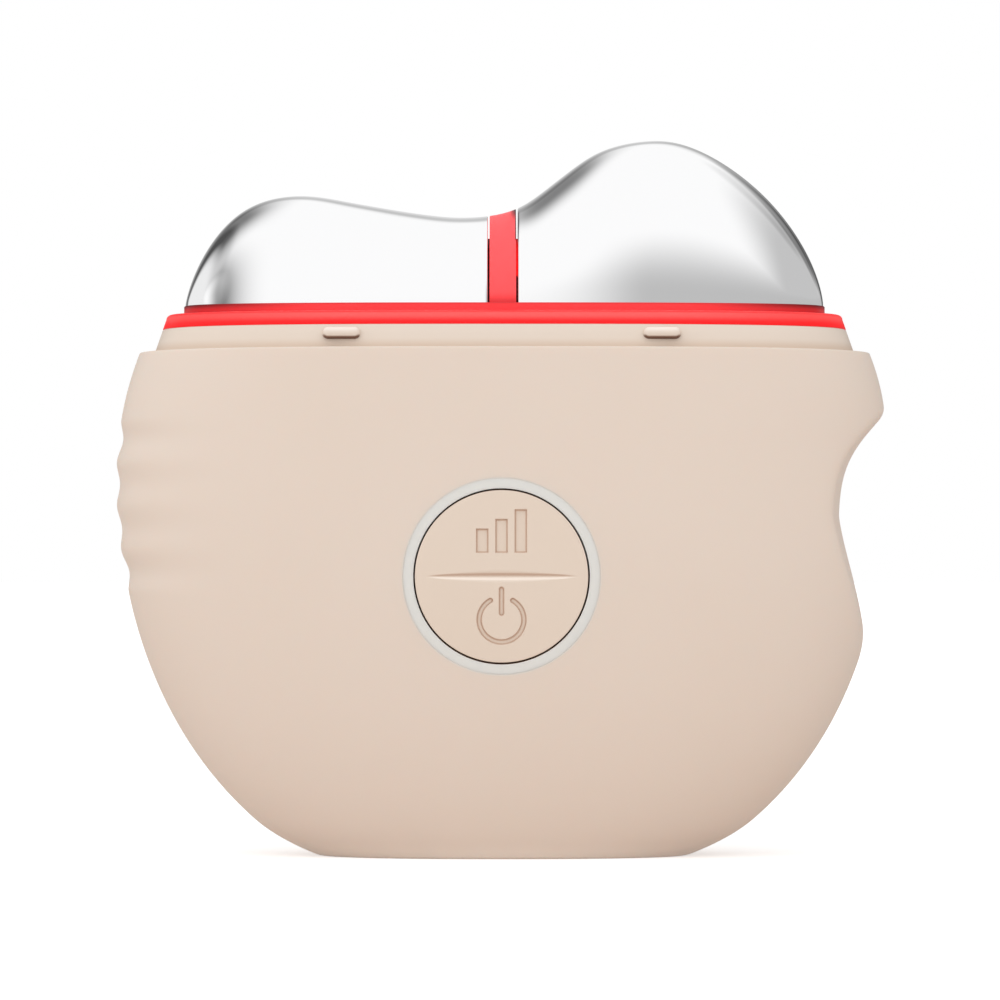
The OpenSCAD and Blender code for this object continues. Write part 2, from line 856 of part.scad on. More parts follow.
module button_cap() {
  edge = 0.3;
  r = button_d / 2;
  hub_l = 2 * (ear_x - 0.3);
  color([0.88, 0.8, 0.72])
    at_button(button_in)
      difference() {
        union() {
          rotate_extrude()
            polygon([[0, 0], [r - edge, 0], [r, edge], [r, button_t], [0, button_t]]);
          translate([-hub_l / 2, -hub_r, button_t - 0.1])
            cube([hub_l, 2 * hub_r, pin_depth - button_back + hub_r + 0.1]);
          for (y = [-1, 1])
            translate([0, y * switch_arm, button_t - 0.1])
              cylinder(h = pad_top - 0.05 - button_back + 0.1, r = 1.3);
        }
        button_marks();
        translate([0, 0, pin_depth - button_in])
          rotate([0, 90, 0])
            cylinder(h = 2 * hub_l, r = pin_r + 0.03, center = true);
      }
}

module pivot_pin() {
  color("silver")
    at_button(pin_depth)
      rotate([0, 90, 0])
        cylinder(h = 2 * (ear_x + ear_t), r = pin_r, center = true);
}

module button_bracket() {
  ear_top = button_back + 0.25;
  color("gainsboro")
    at_button()
      difference() {
        union() {
          translate([0, 0, bracket_depth])
            cylinder(h = bracket_t, r = seat_r - 0.2);
          translate([0, 0, seat_depth])
            difference() {
              cylinder(h = lip_t + bracket_t, r = seat_r - 0.2);
              translate([0, 0, -past])
                cylinder(h = past + lip_t, r = ring_lip + fit);
            }
          for (side = [-1, 1])
            translate([side * (ear_x + ear_t / 2) - ear_t / 2, -hub_r - 0.15, ear_top])
              cube([ear_t, 2 * hub_r + 0.3, bracket_depth + bracket_t - ear_top]);
        }
        translate([0, 0, pin_depth])
          rotate([0, 90, 0])
            cylinder(h = 4 * ear_x, r = pin_r + screw_fit, center = true);
        for (y = [-1, 1])
          translate([0, y * switch_arm, bracket_depth - past])
            cylinder(h = bracket_t + 2 * past, r = 2.2);
        for (i = [0:led_count - 1])
          rotate([0, 0, i * 360 / led_count])
            translate([led_r, 0, bracket_depth - past])
              cylinder(h = bracket_t + 2 * past, r = window_r);
        for (turn = [45:90:315])
          rotate([0, 0, turn])
            translate([bracket_screw_r, 0, seat_depth - past])
              cylinder(h = lip_t + bracket_t + 2 * past, r = small_screw_r + fit);
      }
}

module bracket_screws() {
  color("silver")
    at_bracket_screws(bracket_depth + bracket_t)
      screw(small_screw_r, bracket_screw_l, small_head_r, small_head_h);
}

module keypad_boot() {
  boot_r = 9.2;
  skirt = 0.8;
  color("whitesmoke")
    at_button() {
      difference() {
        translate([0, 0, boot_depth])
          cylinder(h = board_depth - boot_depth, r = boot_r);
        translate([0, 0, boot_depth + boot_t])
          cylinder(h = board_depth, r = boot_r - skirt);
      }
      for (y = [-1, 1])
        translate([0, y * switch_arm, pad_top])
          cylinder(h = pad_back - pad_top, r = 1.8);
    }
}

module tact_switch(y) {
  at_button(switch_top)
    difference() {
      translate([-switch_w / 2, y - switch_w / 2, 0])
        cube([switch_w, switch_w, switch_h]);
      translate([0, y, -past])
        cylinder(h = past + stem_l - 0.6 + 0.4, r = stem_r + 0.05);
    }
}

module stem(y) {
  at_button(stem_top)
    translate([0, y, 0])
      cylinder(h = stem_l, r = stem_r);
}

module level_switch() { color("silver") tact_switch(-switch_arm); }
module power_switch() { color("silver") tact_switch(switch_arm); }
module level_stem() { color("black") stem(-switch_arm); }
module power_stem() { color("black") stem(switch_arm); }

// ---- Main board ----

module main_board() {
  color("darkgreen")
    difference() {
      at_button(board_depth)
        translate([-board_w / 2, -board_h / 2, 0])
          cube([board_w, board_h, board_t]);
      at_board_screws(board_back + past)
        cylinder(h = board_t + 2 * past, r = board_screw_r + fit);
    }
}

module board_screws() {
  color("silver")
    at_board_screws(board_back)
      screw(board_screw_r, board_t + board_screw_bite, board_head_r, board_head_h);
}

module ring_leds() {
  color("lightyellow")
    at_button(board_depth - 0.7)
      for (i = [0:led_count - 1])
        rotate([0, 0, i * 360 / led_count])
          translate([led_r - 0.6, -0.8, 0])
            cube([1.2, 1.6, 0.7]);
}

// Places a box on the back of the main board, its middle at [x, y]
module on_board(x, y, size) {
  at_button(board_back)
    translate([x - size[0] / 2, y - size[1] / 2, 0])
      cube(size);
}

// Processor, drive stage and charge guard
chip_places = [[-8, 3], [-9, -6.5], [board_w / 2 - 10, board_h / 2 - 6]];
chip_sizes = [[7, 7, 0.9], [5, 4, 0.9], [3, 3, 0.8]];
coil_r = 3;
coil_h = 2.6;
coil_place = [board_w / 2 - 9, 1];
capacitor_size = [3.2, 1.6, 1.5];
capacitor_places = [
  [3, 4], [3, 7], [5 - board_w / 2, 4], [5 - board_w / 2, 7], [board_w / 2 - 3, 0], [-2, -10]
];

module control_chips() {
  color("black")
    for (i = [0:len(chip_places) - 1])
      on_board(chip_places[i][0], chip_places[i][1], chip_sizes[i]);
}

module boost_coil() {
  color("dimgray")
    at_button(board_back)
      translate([coil_place[0], coil_place[1], 0])
        cylinder(h = coil_h, r = coil_r);
}

module capacitors() {
  color("tan")
    for (place = capacitor_places)
      on_board(place[0], place[1], capacitor_size);
}

plug_x = 4;
plug_y = -7;
plug_size = [6, 3.4, 2.4];

module battery_plug() {
  color("ivory")
    on_board(plug_x, plug_y, plug_size);
}

// ---- Charging socket ----

module charge_board() {
  color("darkgreen")
    difference() {
      translate([-charge_w / 2, charge_y, charge_z])
        cube([charge_w, charge_t, charge_h]);
      for (x = [-1, 1])
        translate([x * charge_screw_x, charge_y - past, charge_screw_z])
          rotate([-90, 0, 0])
            cylinder(h = charge_t + 2 * past, r = small_screw_r + fit);
    }
}

module charge_screws() {
  color("silver")
    for (x = [-1, 1])
      translate([x * charge_screw_x, charge_y, charge_screw_z])
        rotate([-90, 0, 0])
          screw(small_screw_r, charge_t + charge_screw_bite, small_head_r, small_head_h);
}

module usb_shell() {
  color("silver")
    translate([0, 0, usb_z])
      difference() {
        slot(usb_w, usb_t, usb_h);
        translate([0, 0, -past])
          slot(usb_w - 2 * usb_wall, usb_t - 2 * usb_wall, past + usb_h - 0.8);
      }
}

module usb_tongue() {
  color("black")
    translate([-3.3, -0.35, usb_z + 1])
      cube([6.6, 0.7, usb_h - 0.8 - 1]);
}

module port_seal() {
  color("dimgray")
    translate([0, 0, cavity_in])
      difference() {
        slot(usb_w + 2, usb_t + 2, 0.9);
        translate([0, 0, -past])
          slot(usb_w + fit, usb_t + fit, 3 * past);
      }
}

// ---- Battery ----

module battery_tray() {
  inner_w = battery_w + 2 * fit;
  inner_h = battery_h + 2 * fit;
  wall_d = 3.5;
  ear_w = 2 * (tray_screw_x + post_r);
  color("gainsboro")
    difference() {
      union() {
        translate([-inner_w / 2 - tray_wall, tray_y - wall_d, cell_z - fit - tray_wall])
          cube([inner_w + 2 * tray_wall, wall_d + tray_t, inner_h + 2 * tray_wall]);
        for (z = tray_screw_z)
          translate([-ear_w / 2, tray_y, z - post_r])
            cube([ear_w, tray_t, 2 * post_r]);
      }
      translate([-inner_w / 2, tray_y - wall_d - past, cell_z - fit])
        cube([inner_w, wall_d + past, inner_h]);
      for (x = [-1, 1], z = tray_screw_z)
        translate([x * tray_screw_x, tray_y - past, z])
          rotate([-90, 0, 0])
            cylinder(h = tray_t + 2 * past, r = small_screw_r + fit);
    }
}

module tray_screws() {
  color("silver")
    for (x = [-1, 1], z = tray_screw_z)
      translate([x * tray_screw_x, tray_y, z])
        rotate([-90, 0, 0])
          screw(small_screw_r, tray_t + tray_screw_bite, small_head_r, small_head_h);
}

module battery_tape() {
  color("dimgray")
    translate([-battery_w / 2 + 2, cell_y + battery_t, cell_z + 2])
      cube([battery_w - 4, tape_t, battery_h - 4]);
}

module battery_cell() {
  edge = battery_t / 2;
  color("slategray")
    translate([0, cell_y + edge, cell_z])
      slot(battery_w, battery_t, battery_h);
}

// ---- Leads ----

lead_sides = 8;

// Lead of a radius through points [y, z] in the upright plane at x
module lead(x, route, r) {
  n = len(route);
  rings = [for (i = [0:n - 1])
    let (a = route[max(i - 1, 0)], b = route[min(i + 1, n - 1)],
         along = (b - a) / norm(b - a))
    [for (j = [0:lead_sides - 1])
      let (turn = j * 360 / lead_sides)
      [x + r * cos(turn),
       route[i][0] + r * sin(turn) * along[1],
       route[i][1] - r * sin(turn) * along[0]]]];
  loft(rings);
}

// Back of the main board at a distance up its face from the button's middle, as [y, z]
function board_back_at(up) = [
  -depth_at(button_z) + board_back * cos(face_lean) - up * sin(face_lean),
  button_z + board_back * sin(face_lean) + up * cos(face_lean)
];

lead_r = 0.45;
// A lead's end stands off its board by the height of its solder
solder = 0.45;
// The leads cross between the cell and the light board
cell_top = cell_z + battery_h;
function above_cell(share) = cell_top + (light_board_z - cell_top) * share;
light_lead_x = [5 - board_w / 2, 7 - board_w / 2];

module electrode_leads() {
  top = board_back_at(board_h / 2 - 3);
  color("red")
    for (x = [left_screws[1], right_screws[0]])
      lead(x, [
        [8.2, collar_z - lug_t - 0.02], [8.4, collar_z - skirt_h], [7.6, above_cell(0.73)],
        [4.5, above_cell(0.51)], [0.5, above_cell(0.44)], [-2.4, above_cell(0.28)],
        [top[0] + 1.8, top[1] + 1], [top[0] + solder, top[1]]
      ], lead_r);
}

module light_leads() {
  top = board_back_at(board_h / 2 - 3);
  color("orange")
    for (x = light_lead_x)
      lead(x, [
        [4, light_board_z - solder / 2], [3.8, above_cell(0.83)], [2, above_cell(0.6)],
        [-0.8, above_cell(0.42)], [top[0] + 1.9, top[1] + 1.2], [top[0] + solder, top[1]]
      ], lead_r);
}

module battery_leads() {
  plug = board_back_at(-plug_y);
  color("crimson")
    for (x = [plug_x - 1, plug_x + 1])
      lead(x, [
        [cell_y + 1, cell_top + solder / 2], [cell_y + 0.7, cell_top + 1.3],
        [cell_y - 0.6, cell_top + 1.2], [plug[0] + 2.2, plug[1] + 4],
        [plug[0] + 1.4, plug[1] + plug_size[1] / 2 + solder]
      ], lead_r);
}

module charge_leads() {
  foot = board_back_at(2.5 - board_h / 2);
  top = charge_z + charge_h;
  color("crimson")
    for (x = [-1.5, 1.5])
      lead(x, [
        [charge_y - solder, top - 0.8], [charge_y - 1.2, top - 0.4], [-0.4, top + 1.2],
        [foot[0] + 1.9, foot[1] - 1.4], [foot[0] + solder, foot[1]]
      ], lead_r);
}

grip_sleeve();
front_housing();
rear_housing();
housing_screws();
light_base();
head_seal();
left_electrode();
right_electrode();
electrode_gaskets();
electrode_screws();
electrode_terminals();
light_board();
red_leds();
light_board_screws();
light_ring();
button_cap();
pivot_pin();
button_bracket();
bracket_screws();
keypad_boot();
level_switch();
power_switch();
level_stem();
power_stem();
main_board();
board_screws();
ring_leds();
control_chips();
boost_coil();
capacitors();
battery_plug();
charge_board();
charge_screws();
usb_shell();
usb_tongue();
port_seal();
battery_tray();
tray_screws();
battery_tape();
battery_cell();
battery_leads();
electrode_leads();
light_leads();
charge_leads();
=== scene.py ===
import json
import math

import bmesh
import bpy
import numpy as np
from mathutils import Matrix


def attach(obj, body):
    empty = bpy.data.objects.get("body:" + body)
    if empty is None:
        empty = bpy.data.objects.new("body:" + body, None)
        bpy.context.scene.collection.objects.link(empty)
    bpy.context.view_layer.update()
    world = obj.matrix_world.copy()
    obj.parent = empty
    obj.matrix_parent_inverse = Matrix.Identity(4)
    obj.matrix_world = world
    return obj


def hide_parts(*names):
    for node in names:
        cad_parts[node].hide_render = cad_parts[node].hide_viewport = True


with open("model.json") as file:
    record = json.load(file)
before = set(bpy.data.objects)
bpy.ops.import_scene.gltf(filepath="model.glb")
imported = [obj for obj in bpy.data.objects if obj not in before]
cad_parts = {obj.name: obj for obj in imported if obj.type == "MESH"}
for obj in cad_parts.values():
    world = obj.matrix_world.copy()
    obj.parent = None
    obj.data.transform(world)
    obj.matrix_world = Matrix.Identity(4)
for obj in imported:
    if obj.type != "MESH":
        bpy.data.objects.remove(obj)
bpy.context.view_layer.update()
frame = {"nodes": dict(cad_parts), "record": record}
nodes = frame["nodes"]


# ---- Silicone sleeve ----
# One soft silicone moulding, stretched over the hard housing from below. Five ridges down
# its left edge and a thumb notch across its right edge give the hand its grip. It has a
# round opening for the light ring and a long one in its foot for the charging plug.

# Sizes here and below are in millimetres, and a piece's mesh is scaled to metres as it is made.
MM = 0.001

half_w = 41
half_d = 16.5
sleeve_h = 53.7
belly_z = 41
base_left = 21.16
base_right = 21.48
base_d = 15.6
base_round = 0.3
foot_in = 1.62
foot_h = 4
fullness_left = 2.142
fullness_right = 2.259
fullness_depth = 2.1
rim_in_left = 2.4
rim_in_right = 1.74
rim_in_depth = 0.4
shoulder_z = 44.77
sleeve_wall = 1.7
rim_round = 0.1
rim_dip = 0.2
plan_power = 3
foot_power = 2.2

ridge_count = 5
ridge_pitch = 4.6
ridge_depth = 0.37
ridge_gain = 0.35
ridge_rise = 0.1
crest_power = 1.9
ridge_z = 28.08
ridge_reach = 14

notch_z = 36.3
notch_depth = 4.894
notch_up = 15.13
notch_down = 26.49
notch_power_up = 1.29
notch_power_down = 0.637
notch_crown = 2.6
notch_blend = 0.8

button_z = 29.8
ring_in = 9.15
ring_out = 10.27
sleeve_hole = ring_out + 0.002
port_w = 12.4
port_t = 6.6


def swell(z, base, full, power, rim_in, shoulder):
    """Half-size of the body at a height. Below the belly it is a superellipse quarter that
    grows from the base's half-size to the full one, and above its shoulder it draws in with
    the square of the height."""
    drop = np.maximum(belly_z - z, 0) / belly_z
    low = full * (1 - (1 - (base / full) ** power) * drop ** power) ** (1 / power)
    rise = np.maximum(z - shoulder, 0) / (sleeve_h - shoulder)
    return np.where(z < belly_z, low, full - rim_in * rise ** 2)


def foot_draw(z):
    """How much further the sides draw in at the foot, which fades with height by a power."""
    return foot_in * np.maximum(1 - z / foot_h, 0) ** 2.2


def left_at(z):
    """Reach of the body to the left of the middle at a height."""
    return swell(z, base_left, half_w, fullness_left, rim_in_left, belly_z) - foot_draw(z)


def right_at(z):
    """Reach of the body to the right of the middle at a height, before the notch is cut."""
    return swell(z, base_right, half_w, fullness_right, rim_in_right, shoulder_z) - foot_draw(z)


def depth_at(z):
    """Half-depth of the body at a height."""
    return swell(z, base_d / 2, half_d, fullness_depth, rim_in_depth, belly_z)


def notch_at(z):
    """Depth of the notch at a height: half a cosine wave above its deepest point, and a
    longer one below it. Each is taken of a power of the distance, so that the wall stays near
    its deepest for longer above than below."""
    rise = z - notch_z
    share = np.where(rise > 0, (np.maximum(rise, 0) / notch_up) ** notch_power_up,
                     (np.maximum(-rise, 0) / notch_down) ** notch_power_down)
    return notch_depth * (1 + np.cos(math.pi * np.minimum(share, 1))) / 2


def scallop_at(z):
    """Depth of the hollows between the ridges: a power of a sine over the pitch, which grows
    from the middle hollows to the end ones with the square of the distance. The whole row
    rises a little, by the square of a sine over its length."""
    place = (z - ridge_z) / ridge_pitch
    gain = 1 + ridge_gain * ((place - (ridge_count - 1) / 2) / (ridge_count / 2 - 1)) ** 2
    wave = abs(np.sin(math.pi * place)) ** crest_power
    rise = ridge_rise * np.sin(math.pi * place / (ridge_count - 1)) ** 2
    return np.where((place > 0) & (place < ridge_count - 1), ridge_depth * gain * wave - rise, 0)


def section(turn, left, right, deep, power=plan_power):
    """Point of a level superellipse at a polar angle, whose radius on unit half-sizes is
    (|cos|^power + |sin|^power)^(-1/power)."""
    c, s = np.cos(turn), np.sin(turn)
    reach = (abs(c) ** power + abs(s) ** power) ** (-1 / power)
    return (right - left) / 2 + (right + left) / 2 * reach * c, deep * reach * s


def body_point(turn, z, grow=0, ridges=0):
    """Point of the body at a polar angle and a height. On the right it is the smaller of the
    section and the notch's wall, rounded where they meet, and the wall falls back from
    mid-depth with the square of the depth. The ridges' hollows go in square to the
    section, and fade with the square of the distance from the left edge. Towards the foot the
    section grows rounder, and the rim dips towards the sides."""
    left, right, deep = left_at(z) + grow, right_at(z) + grow, depth_at(z) + grow
    rounder = np.maximum(1 - z / (belly_z / 2.5), 0) ** 2
    x, y = section(turn, left, right, deep, plan_power + (foot_power - plan_power) * rounder)
    cut = notch_at(z)
    wall = right - cut + notch_crown * ((1 - cut / notch_depth) ** 2 - (y / deep) ** 2)
    crease = np.maximum(notch_blend - abs(x - wall), 0) ** 2 / (4 * notch_blend)
    x = np.where((cut > 1e-6) & (x > 0), np.minimum(x, wall) - crease, x)
    fade = np.clip(1 - (x + left) / ridge_reach, 0, 1)
    side = np.sign(x) * (abs(x) / left) ** (plan_power - 1) / left
    face = np.sign(y) * (abs(y) / deep) ** (plan_power - 1) / deep
    press = ridges * scallop_at(z) * fade ** 2 / np.maximum(np.hypot(side, face), 1e-9)
    above_shoulder = np.maximum((z - shoulder_z) / (sleeve_h - shoulder_z), 0)
    dip = rim_dip * (x / half_w) ** 4 * above_shoulder ** 2
    return np.stack([x - press * side, y - press * face, z - dip], -1)


def inset(point, wall):
    """Moves points of the body inwards: all round by a share of its size, and up from the
    base below the belly."""
    x, y, z = np.moveaxis(point, -1, 0)
    up = np.where(z < belly_z, belly_z - (belly_z - z) * (1 - wall / belly_z), z)
    return np.stack([x * (1 - wall / half_w), y * (1 - wall / half_d), up], -1)


def front_at(x, z, wall=0):
    """Place in depth of the front face, or of one that lies a wall inside it, across from
    the middle and at a height: the section solved for its depth."""
    z_out = np.where(z < belly_z, belly_z - (belly_z - z) / (1 - wall / belly_z), z)
    left, right = left_at(z_out), right_at(z_out)
    share = (x / (1 - wall / half_w) - (right - left) / 2) / ((right + left) / 2)
    deep = depth_at(z_out) * np.maximum(1 - abs(share) ** plan_power, 0) ** (1 / plan_power)
    return -deep * (1 - wall / half_d)


face_y = -float(depth_at(button_z))
lean = math.atan(float(depth_at(button_z + 1) - depth_at(button_z - 1)) / 2)


def at_face(across, down, depth):
    """Point at a place in the button's tilted plane and a depth into the body."""
    return np.stack([
        across + 0 * depth,
        face_y + down * math.sin(lean) + depth * math.cos(lean),
        button_z - down * math.cos(lean) + depth * math.sin(lean),
    ], -1)


def on_face(across, down, wall=0, sink=0):
    """Point of the front face, or of one a wall inside it, straight in from a place in the
    button's plane: the depth is found by putting it back into the face four times."""
    depth = 0 * (across + down)
    for _ in range(4):
        _, y, z = np.moveaxis(at_face(across, down, depth), -1, 0)
        depth = depth + (front_at(across, z, wall) - y) / math.cos(lean)
    return at_face(across, down, depth + sink)


def long_hole(turn, width, thick):
    """Outline with round ends at a polar angle: straight across the middle, and beyond it
    the far crossing of the ray with the end's circle."""
    c, s = np.cos(turn), np.sin(turn)
    r, centre = thick / 2, (width - thick) / 2
    flat = r / np.maximum(abs(s), 1e-9)
    ended = centre * abs(c) + np.sqrt(np.maximum(r ** 2 - (centre * s) ** 2, 0))
    reach = np.where(abs(flat * c) <= centre, flat, ended)
    return reach * c, reach * s


def quarter_turn(steps, radius):
    """Steps of a rounded edge as (along, into) pairs: along the first face from the edge's
    start, and into the second."""
    turn = np.linspace(0, math.pi / 2, steps + 1)
    return list(zip(radius * np.sin(turn), radius * (1 - np.cos(turn))))


def between(first, last, shares):
    """Rows that lie shares of the way from one row to another."""
    return [first + (last - first) * share for share in shares]


def ringed(rows):
    """Table whose rows close: its first column is repeated after its last."""
    rows = np.asarray(rows, float)
    return np.concatenate([rows, rows[:, :1]], 1)


def level_row(x, y, z):
    """Row of points at a height, from their places across and in depth."""
    return np.stack([x, y, 0 * x + z], -1)


def window_round(levels, turns, hole, clear):
    """Rows and columns of a wall's table round an opening: (bottom, top, first, last)."""
    rows = np.flatnonzero(abs(levels - button_z) < hole + clear)
    x = body_point(turns, button_z)[..., 0]
    columns = np.flatnonzero((abs(x) < hole + clear) & (np.sin(turns) < 0))
    return rows[0], rows[-1], columns[0], columns[-1]


def open_window(table, window):
    """Mask of a table's quads without those in a window."""
    keep = np.ones((table.shape[0] - 1, table.shape[1] - 1), bool)
    bottom, top, first, last = window
    keep[bottom:top, first:last] = False
    return keep


def window_edge(table, window):
    """Points once round a window of a table, and back to the first."""
    bottom, top, first, last = window
    return np.concatenate([table[bottom, first:last], table[bottom:top, last],
                           table[top, last:first:-1], table[top:bottom:-1, first],
                           table[bottom, first:first + 1]])


def bore(outer, inner, walls, hole, fillet):
    """Table that closes a window in two walls down to a round bore. It runs from the outer
    window to the bore's rounded edge, through the wall and out to the inner window. On a face,
    a row lies a share of the way from the circle to the window."""
    rows = [outer]
    for edge, wall, shares in ((outer, walls[0], (0.75, 0.5, 0.28, 0.12, 0.04)),
                               (inner, walls[1], (0, 0.1, 0.5))):
        x, _, z = np.moveaxis(edge, -1, 0)
        down = (button_z - z) / math.cos(lean)
        turn, r = np.arctan2(down, x), np.hypot(x, down)
        start = hole + fillet if wall == walls[0] else hole
        for share in shares:
            reach = start + (r - start) * share
            rows.append(on_face(reach * np.cos(turn), reach * np.sin(turn), wall))
        if wall == walls[0]:
            for along, into in quarter_turn(4, fillet):
                reach = hole + fillet - along
                rows.append(on_face(reach * np.cos(turn), reach * np.sin(turn), wall, into))
    return np.array(rows + [inner])


def make_piece(name, tables, body="body", corner=38):
    """Piece that rides on a body, from tables of points. A table gives a quad between its
    neighbouring rows and columns, or only where its mask is set. Points that meet are welded,
    which closes seams and poles, faces turn outwards, and edges past a corner's angle stay
    crisp."""
    points, quads, count = [], [], 0
    for table in tables:
        rows, mask = table if isinstance(table, tuple) else (table, None)
        rows = np.asarray(rows, float)
        index = count + np.arange(rows.shape[0] * rows.shape[1]).reshape(rows.shape[:2])
        faces = np.stack([index[:-1, :-1], index[:-1, 1:], index[1:, 1:], index[1:, :-1]], -1)
        points.append(rows.reshape(-1, 3))
        quads.append((faces if mask is None else faces[mask]).reshape(-1, 4))
        count += index.size
    quads = np.concatenate(quads)
    used, quads = np.unique(quads, return_inverse=True)
    mesh = bpy.data.meshes.new(name)
    mesh.from_pydata((np.concatenate(points)[used] * MM).tolist(), [],
                     quads.reshape(-1, 4).tolist())
    shape = bmesh.new()
    shape.from_mesh(mesh)
    bmesh.ops.remove_doubles(shape, verts=shape.verts, dist=2e-4 * MM)
    bmesh.ops.recalc_face_normals(shape, faces=shape.faces)
    shape.to_mesh(mesh)
    shape.free()
    mesh.polygons.foreach_set("use_smooth", np.ones(len(mesh.polygons), bool))
    mesh.set_sharp_from_angle(angle=math.radians(corner))
    piece = bpy.data.objects.new(name, mesh)
    bpy.context.scene.collection.objects.link(piece)
    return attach(piece, body)


turns = np.linspace(0, 2 * math.pi, 320, endpoint=False)
dense_z = 19
levels = np.concatenate([np.linspace(base_round, dense_z, 60)[:-1],
                         np.linspace(dense_z, sleeve_h - rim_round, 124)])
window = window_round(levels, turns, sleeve_hole, 1.6)
inner_picks = np.unique(np.concatenate([np.linspace(0, window[0], 5).astype(int),
                                        np.arange(window[0], window[1] + 1),
                                        np.linspace(window[1], len(levels) - 1, 6).astype(int)]))
inner_low = int(np.searchsorted(inner_picks, window[0]))
inner_window = (inner_low, inner_low + window[1] - window[0], window[2], window[3])

outer_wall = ringed(body_point(turns, levels[:, None], ridges=1))
inner_wall = ringed(inset(body_point(turns, levels[inner_picks, None]), sleeve_wall))
foot = ringed([body_point(turns, base_round * (1 - math.cos(t)), base_round * (math.sin(t) - 1))
               for t in np.linspace(0, math.pi / 2, 7)])


def port_row(wider, z):
    """Row round the plug's opening, wider than it by a step and at a height."""
    x, y = long_hole(turns, port_w + 2 * wider, port_t + 2 * wider)
    return level_row(x, y, z)


port = ringed([port_row(0, sleeve_wall)] + [port_row(into, 0.25 - along)
                                            for along, into in quarter_turn(3, 0.25)])
rim = ringed([body_point(turns, sleeve_h - rim_round + along, -into)
              for along, into in quarter_turn(4, rim_round)])
rim_foot = ringed([inset(body_point(turns, sleeve_h), sleeve_wall)])[0]
sleeve = make_piece("silicone_sleeve", [
    port,
    between(port[-1], foot[0], (0, 0.3, 0.7, 1)),
    foot,
    (outer_wall, open_window(outer_wall, window)),
    rim,
    [rim[-1], rim_foot, inner_wall[-1]],
    (inner_wall, open_window(inner_wall, inner_window)),
    [inner_wall[0], port[0]],
    bore(window_edge(outer_wall, window), window_edge(inner_wall, inner_window),
         (0, sleeve_wall), sleeve_hole, 0.005),
])
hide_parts("grip_sleeve")


class Signal:
    """A value in a material. Arithmetic on it adds the material's Math nodes."""

    def __init__(self, nodes, socket):
        self.nodes = nodes
        self.socket = socket

    def math(self, operation, first, second=None):
        values = {0: first} if second is None else {0: first, 1: second}
        return self.nodes.node("ShaderNodeMath", {"operation": operation}, values)

    def __add__(self, other):
        return self.math("ADD", self, other)

    def __sub__(self, other):
        return self.math("SUBTRACT", self, other)

    def __rsub__(self, other):
        return self.math("SUBTRACT", other, self)

    def __mul__(self, other):
        return self.math("MULTIPLY", self, other)

    def __pow__(self, other):
        return self.math("POWER", self, other)

    def __abs__(self):
        return self.math("ABSOLUTE", self)

    __radd__ = __add__
    __rmul__ = __mul__


def larger(one, other):
    """The larger of two values, in a material or in a table."""
    return one.math("MAXIMUM", one, other) if isinstance(one, Signal) else np.maximum(one, other)


def smaller(one, other):
    """The smaller of two values, in a material or in a table."""
    return one.math("MINIMUM", one, other) if isinstance(one, Signal) else np.minimum(one, other)


class Nodes:
    """The node tree of a material or of the world."""

    def __init__(self, tree):
        self.tree = tree

    def node(self, kind, settings, values, out=0):
        """Adds a node: its settings first, then the values or links of its sockets."""
        node = self.tree.nodes.new(kind)
        for name, value in settings.items():
            setattr(node, name, value)
        for name, value in values.items():
            self.feed(node.inputs[name], value)
        return Signal(self, node.outputs[out])

    def feed(self, socket, value):
        if isinstance(value, Signal):
            self.tree.links.new(value.socket, socket)
        else:
            socket.default_value = value

    def blend(self, share, one, other):
        """Colour between two others."""
        return self.node("ShaderNodeMix", {"data_type": "RGBA"}, {0: share, 6: one, 7: other}, 2)

    def step(self, value, low, high):
        """Share from 0 to 1 as a value rises from low to high, with soft ends."""
        return self.node("ShaderNodeMapRange", {"interpolation_type": "SMOOTHSTEP"},
                         {0: value, 1: low, 2: high})


class Finish(Nodes):
    """A procedural material with one Principled shader. Its place on a piece is read from
    Object coordinates, in metres."""

    def __init__(self, name, **constants):
        self.material = bpy.data.materials.new(name)
        self.material.use_nodes = True
        super().__init__(self.material.node_tree)
        self.shader = self.tree.nodes["Principled BSDF"]
        self.place = self.node("ShaderNodeTexCoord", {}, {}, "Object")
        for socket, value in constants.items():
            self.set(socket.replace("_", " "), value)

    def set(self, socket, value):
        """Feeds one of the shader's own sockets."""
        self.feed(self.shader.inputs[socket], value)

    def noise(self, size, detail=2.0, roughness=0.5):
        """Noise from 0 to 1 whose lumps are about a size in millimetres."""
        return self.node("ShaderNodeTexNoise", {}, {
            "Vector": self.place, "Scale": 1 / (size * MM), "Detail": detail,
            "Roughness": roughness})

    def axis(self, name):
        """The place along one axis, in millimetres."""
        apart = self.node("ShaderNodeSeparateXYZ", {}, {0: self.place}, name)
        return apart * (1 / MM)

    def grain(self, height, depth):
        """Relief of a depth in millimetres."""
        self.set("Normal", self.node("ShaderNodeBump", {}, {
            "Strength": 1.0, "Distance": depth * MM, "Height": height}, "Normal"))

    def on(self, *pieces):
        for piece in pieces:
            piece.data.materials.clear()
            piece.data.materials.append(self.material)


def colour(red, green, blue):
    """Colour on a screen, from 0 to 255, as a shader's linear one."""
    linear = [v / 255 / 12.92 if v <= 10 else ((v / 255 + 0.055) / 1.055) ** 2.4
              for v in (red, green, blue)]
    return (*linear, 1.0)


ring_white = colour(233, 236, 232)


def from_middle(finish):
    """Distance from the button's middle, in its tilted plane."""
    across, up = finish.axis("X"), (finish.axis("Z") - button_z) * (1 / math.cos(lean))
    return (across * across + up * up) ** 0.5


def off_ring(finish):
    """Share from 0 on the light ring to 1 on the sleeve round it. Across it the ring's white and the
    sleeve's beige are painted into each other, a painted glow that softens the edge between them."""
    return finish.step(from_middle(finish), ring_out - 0.2, ring_out + 0.17)


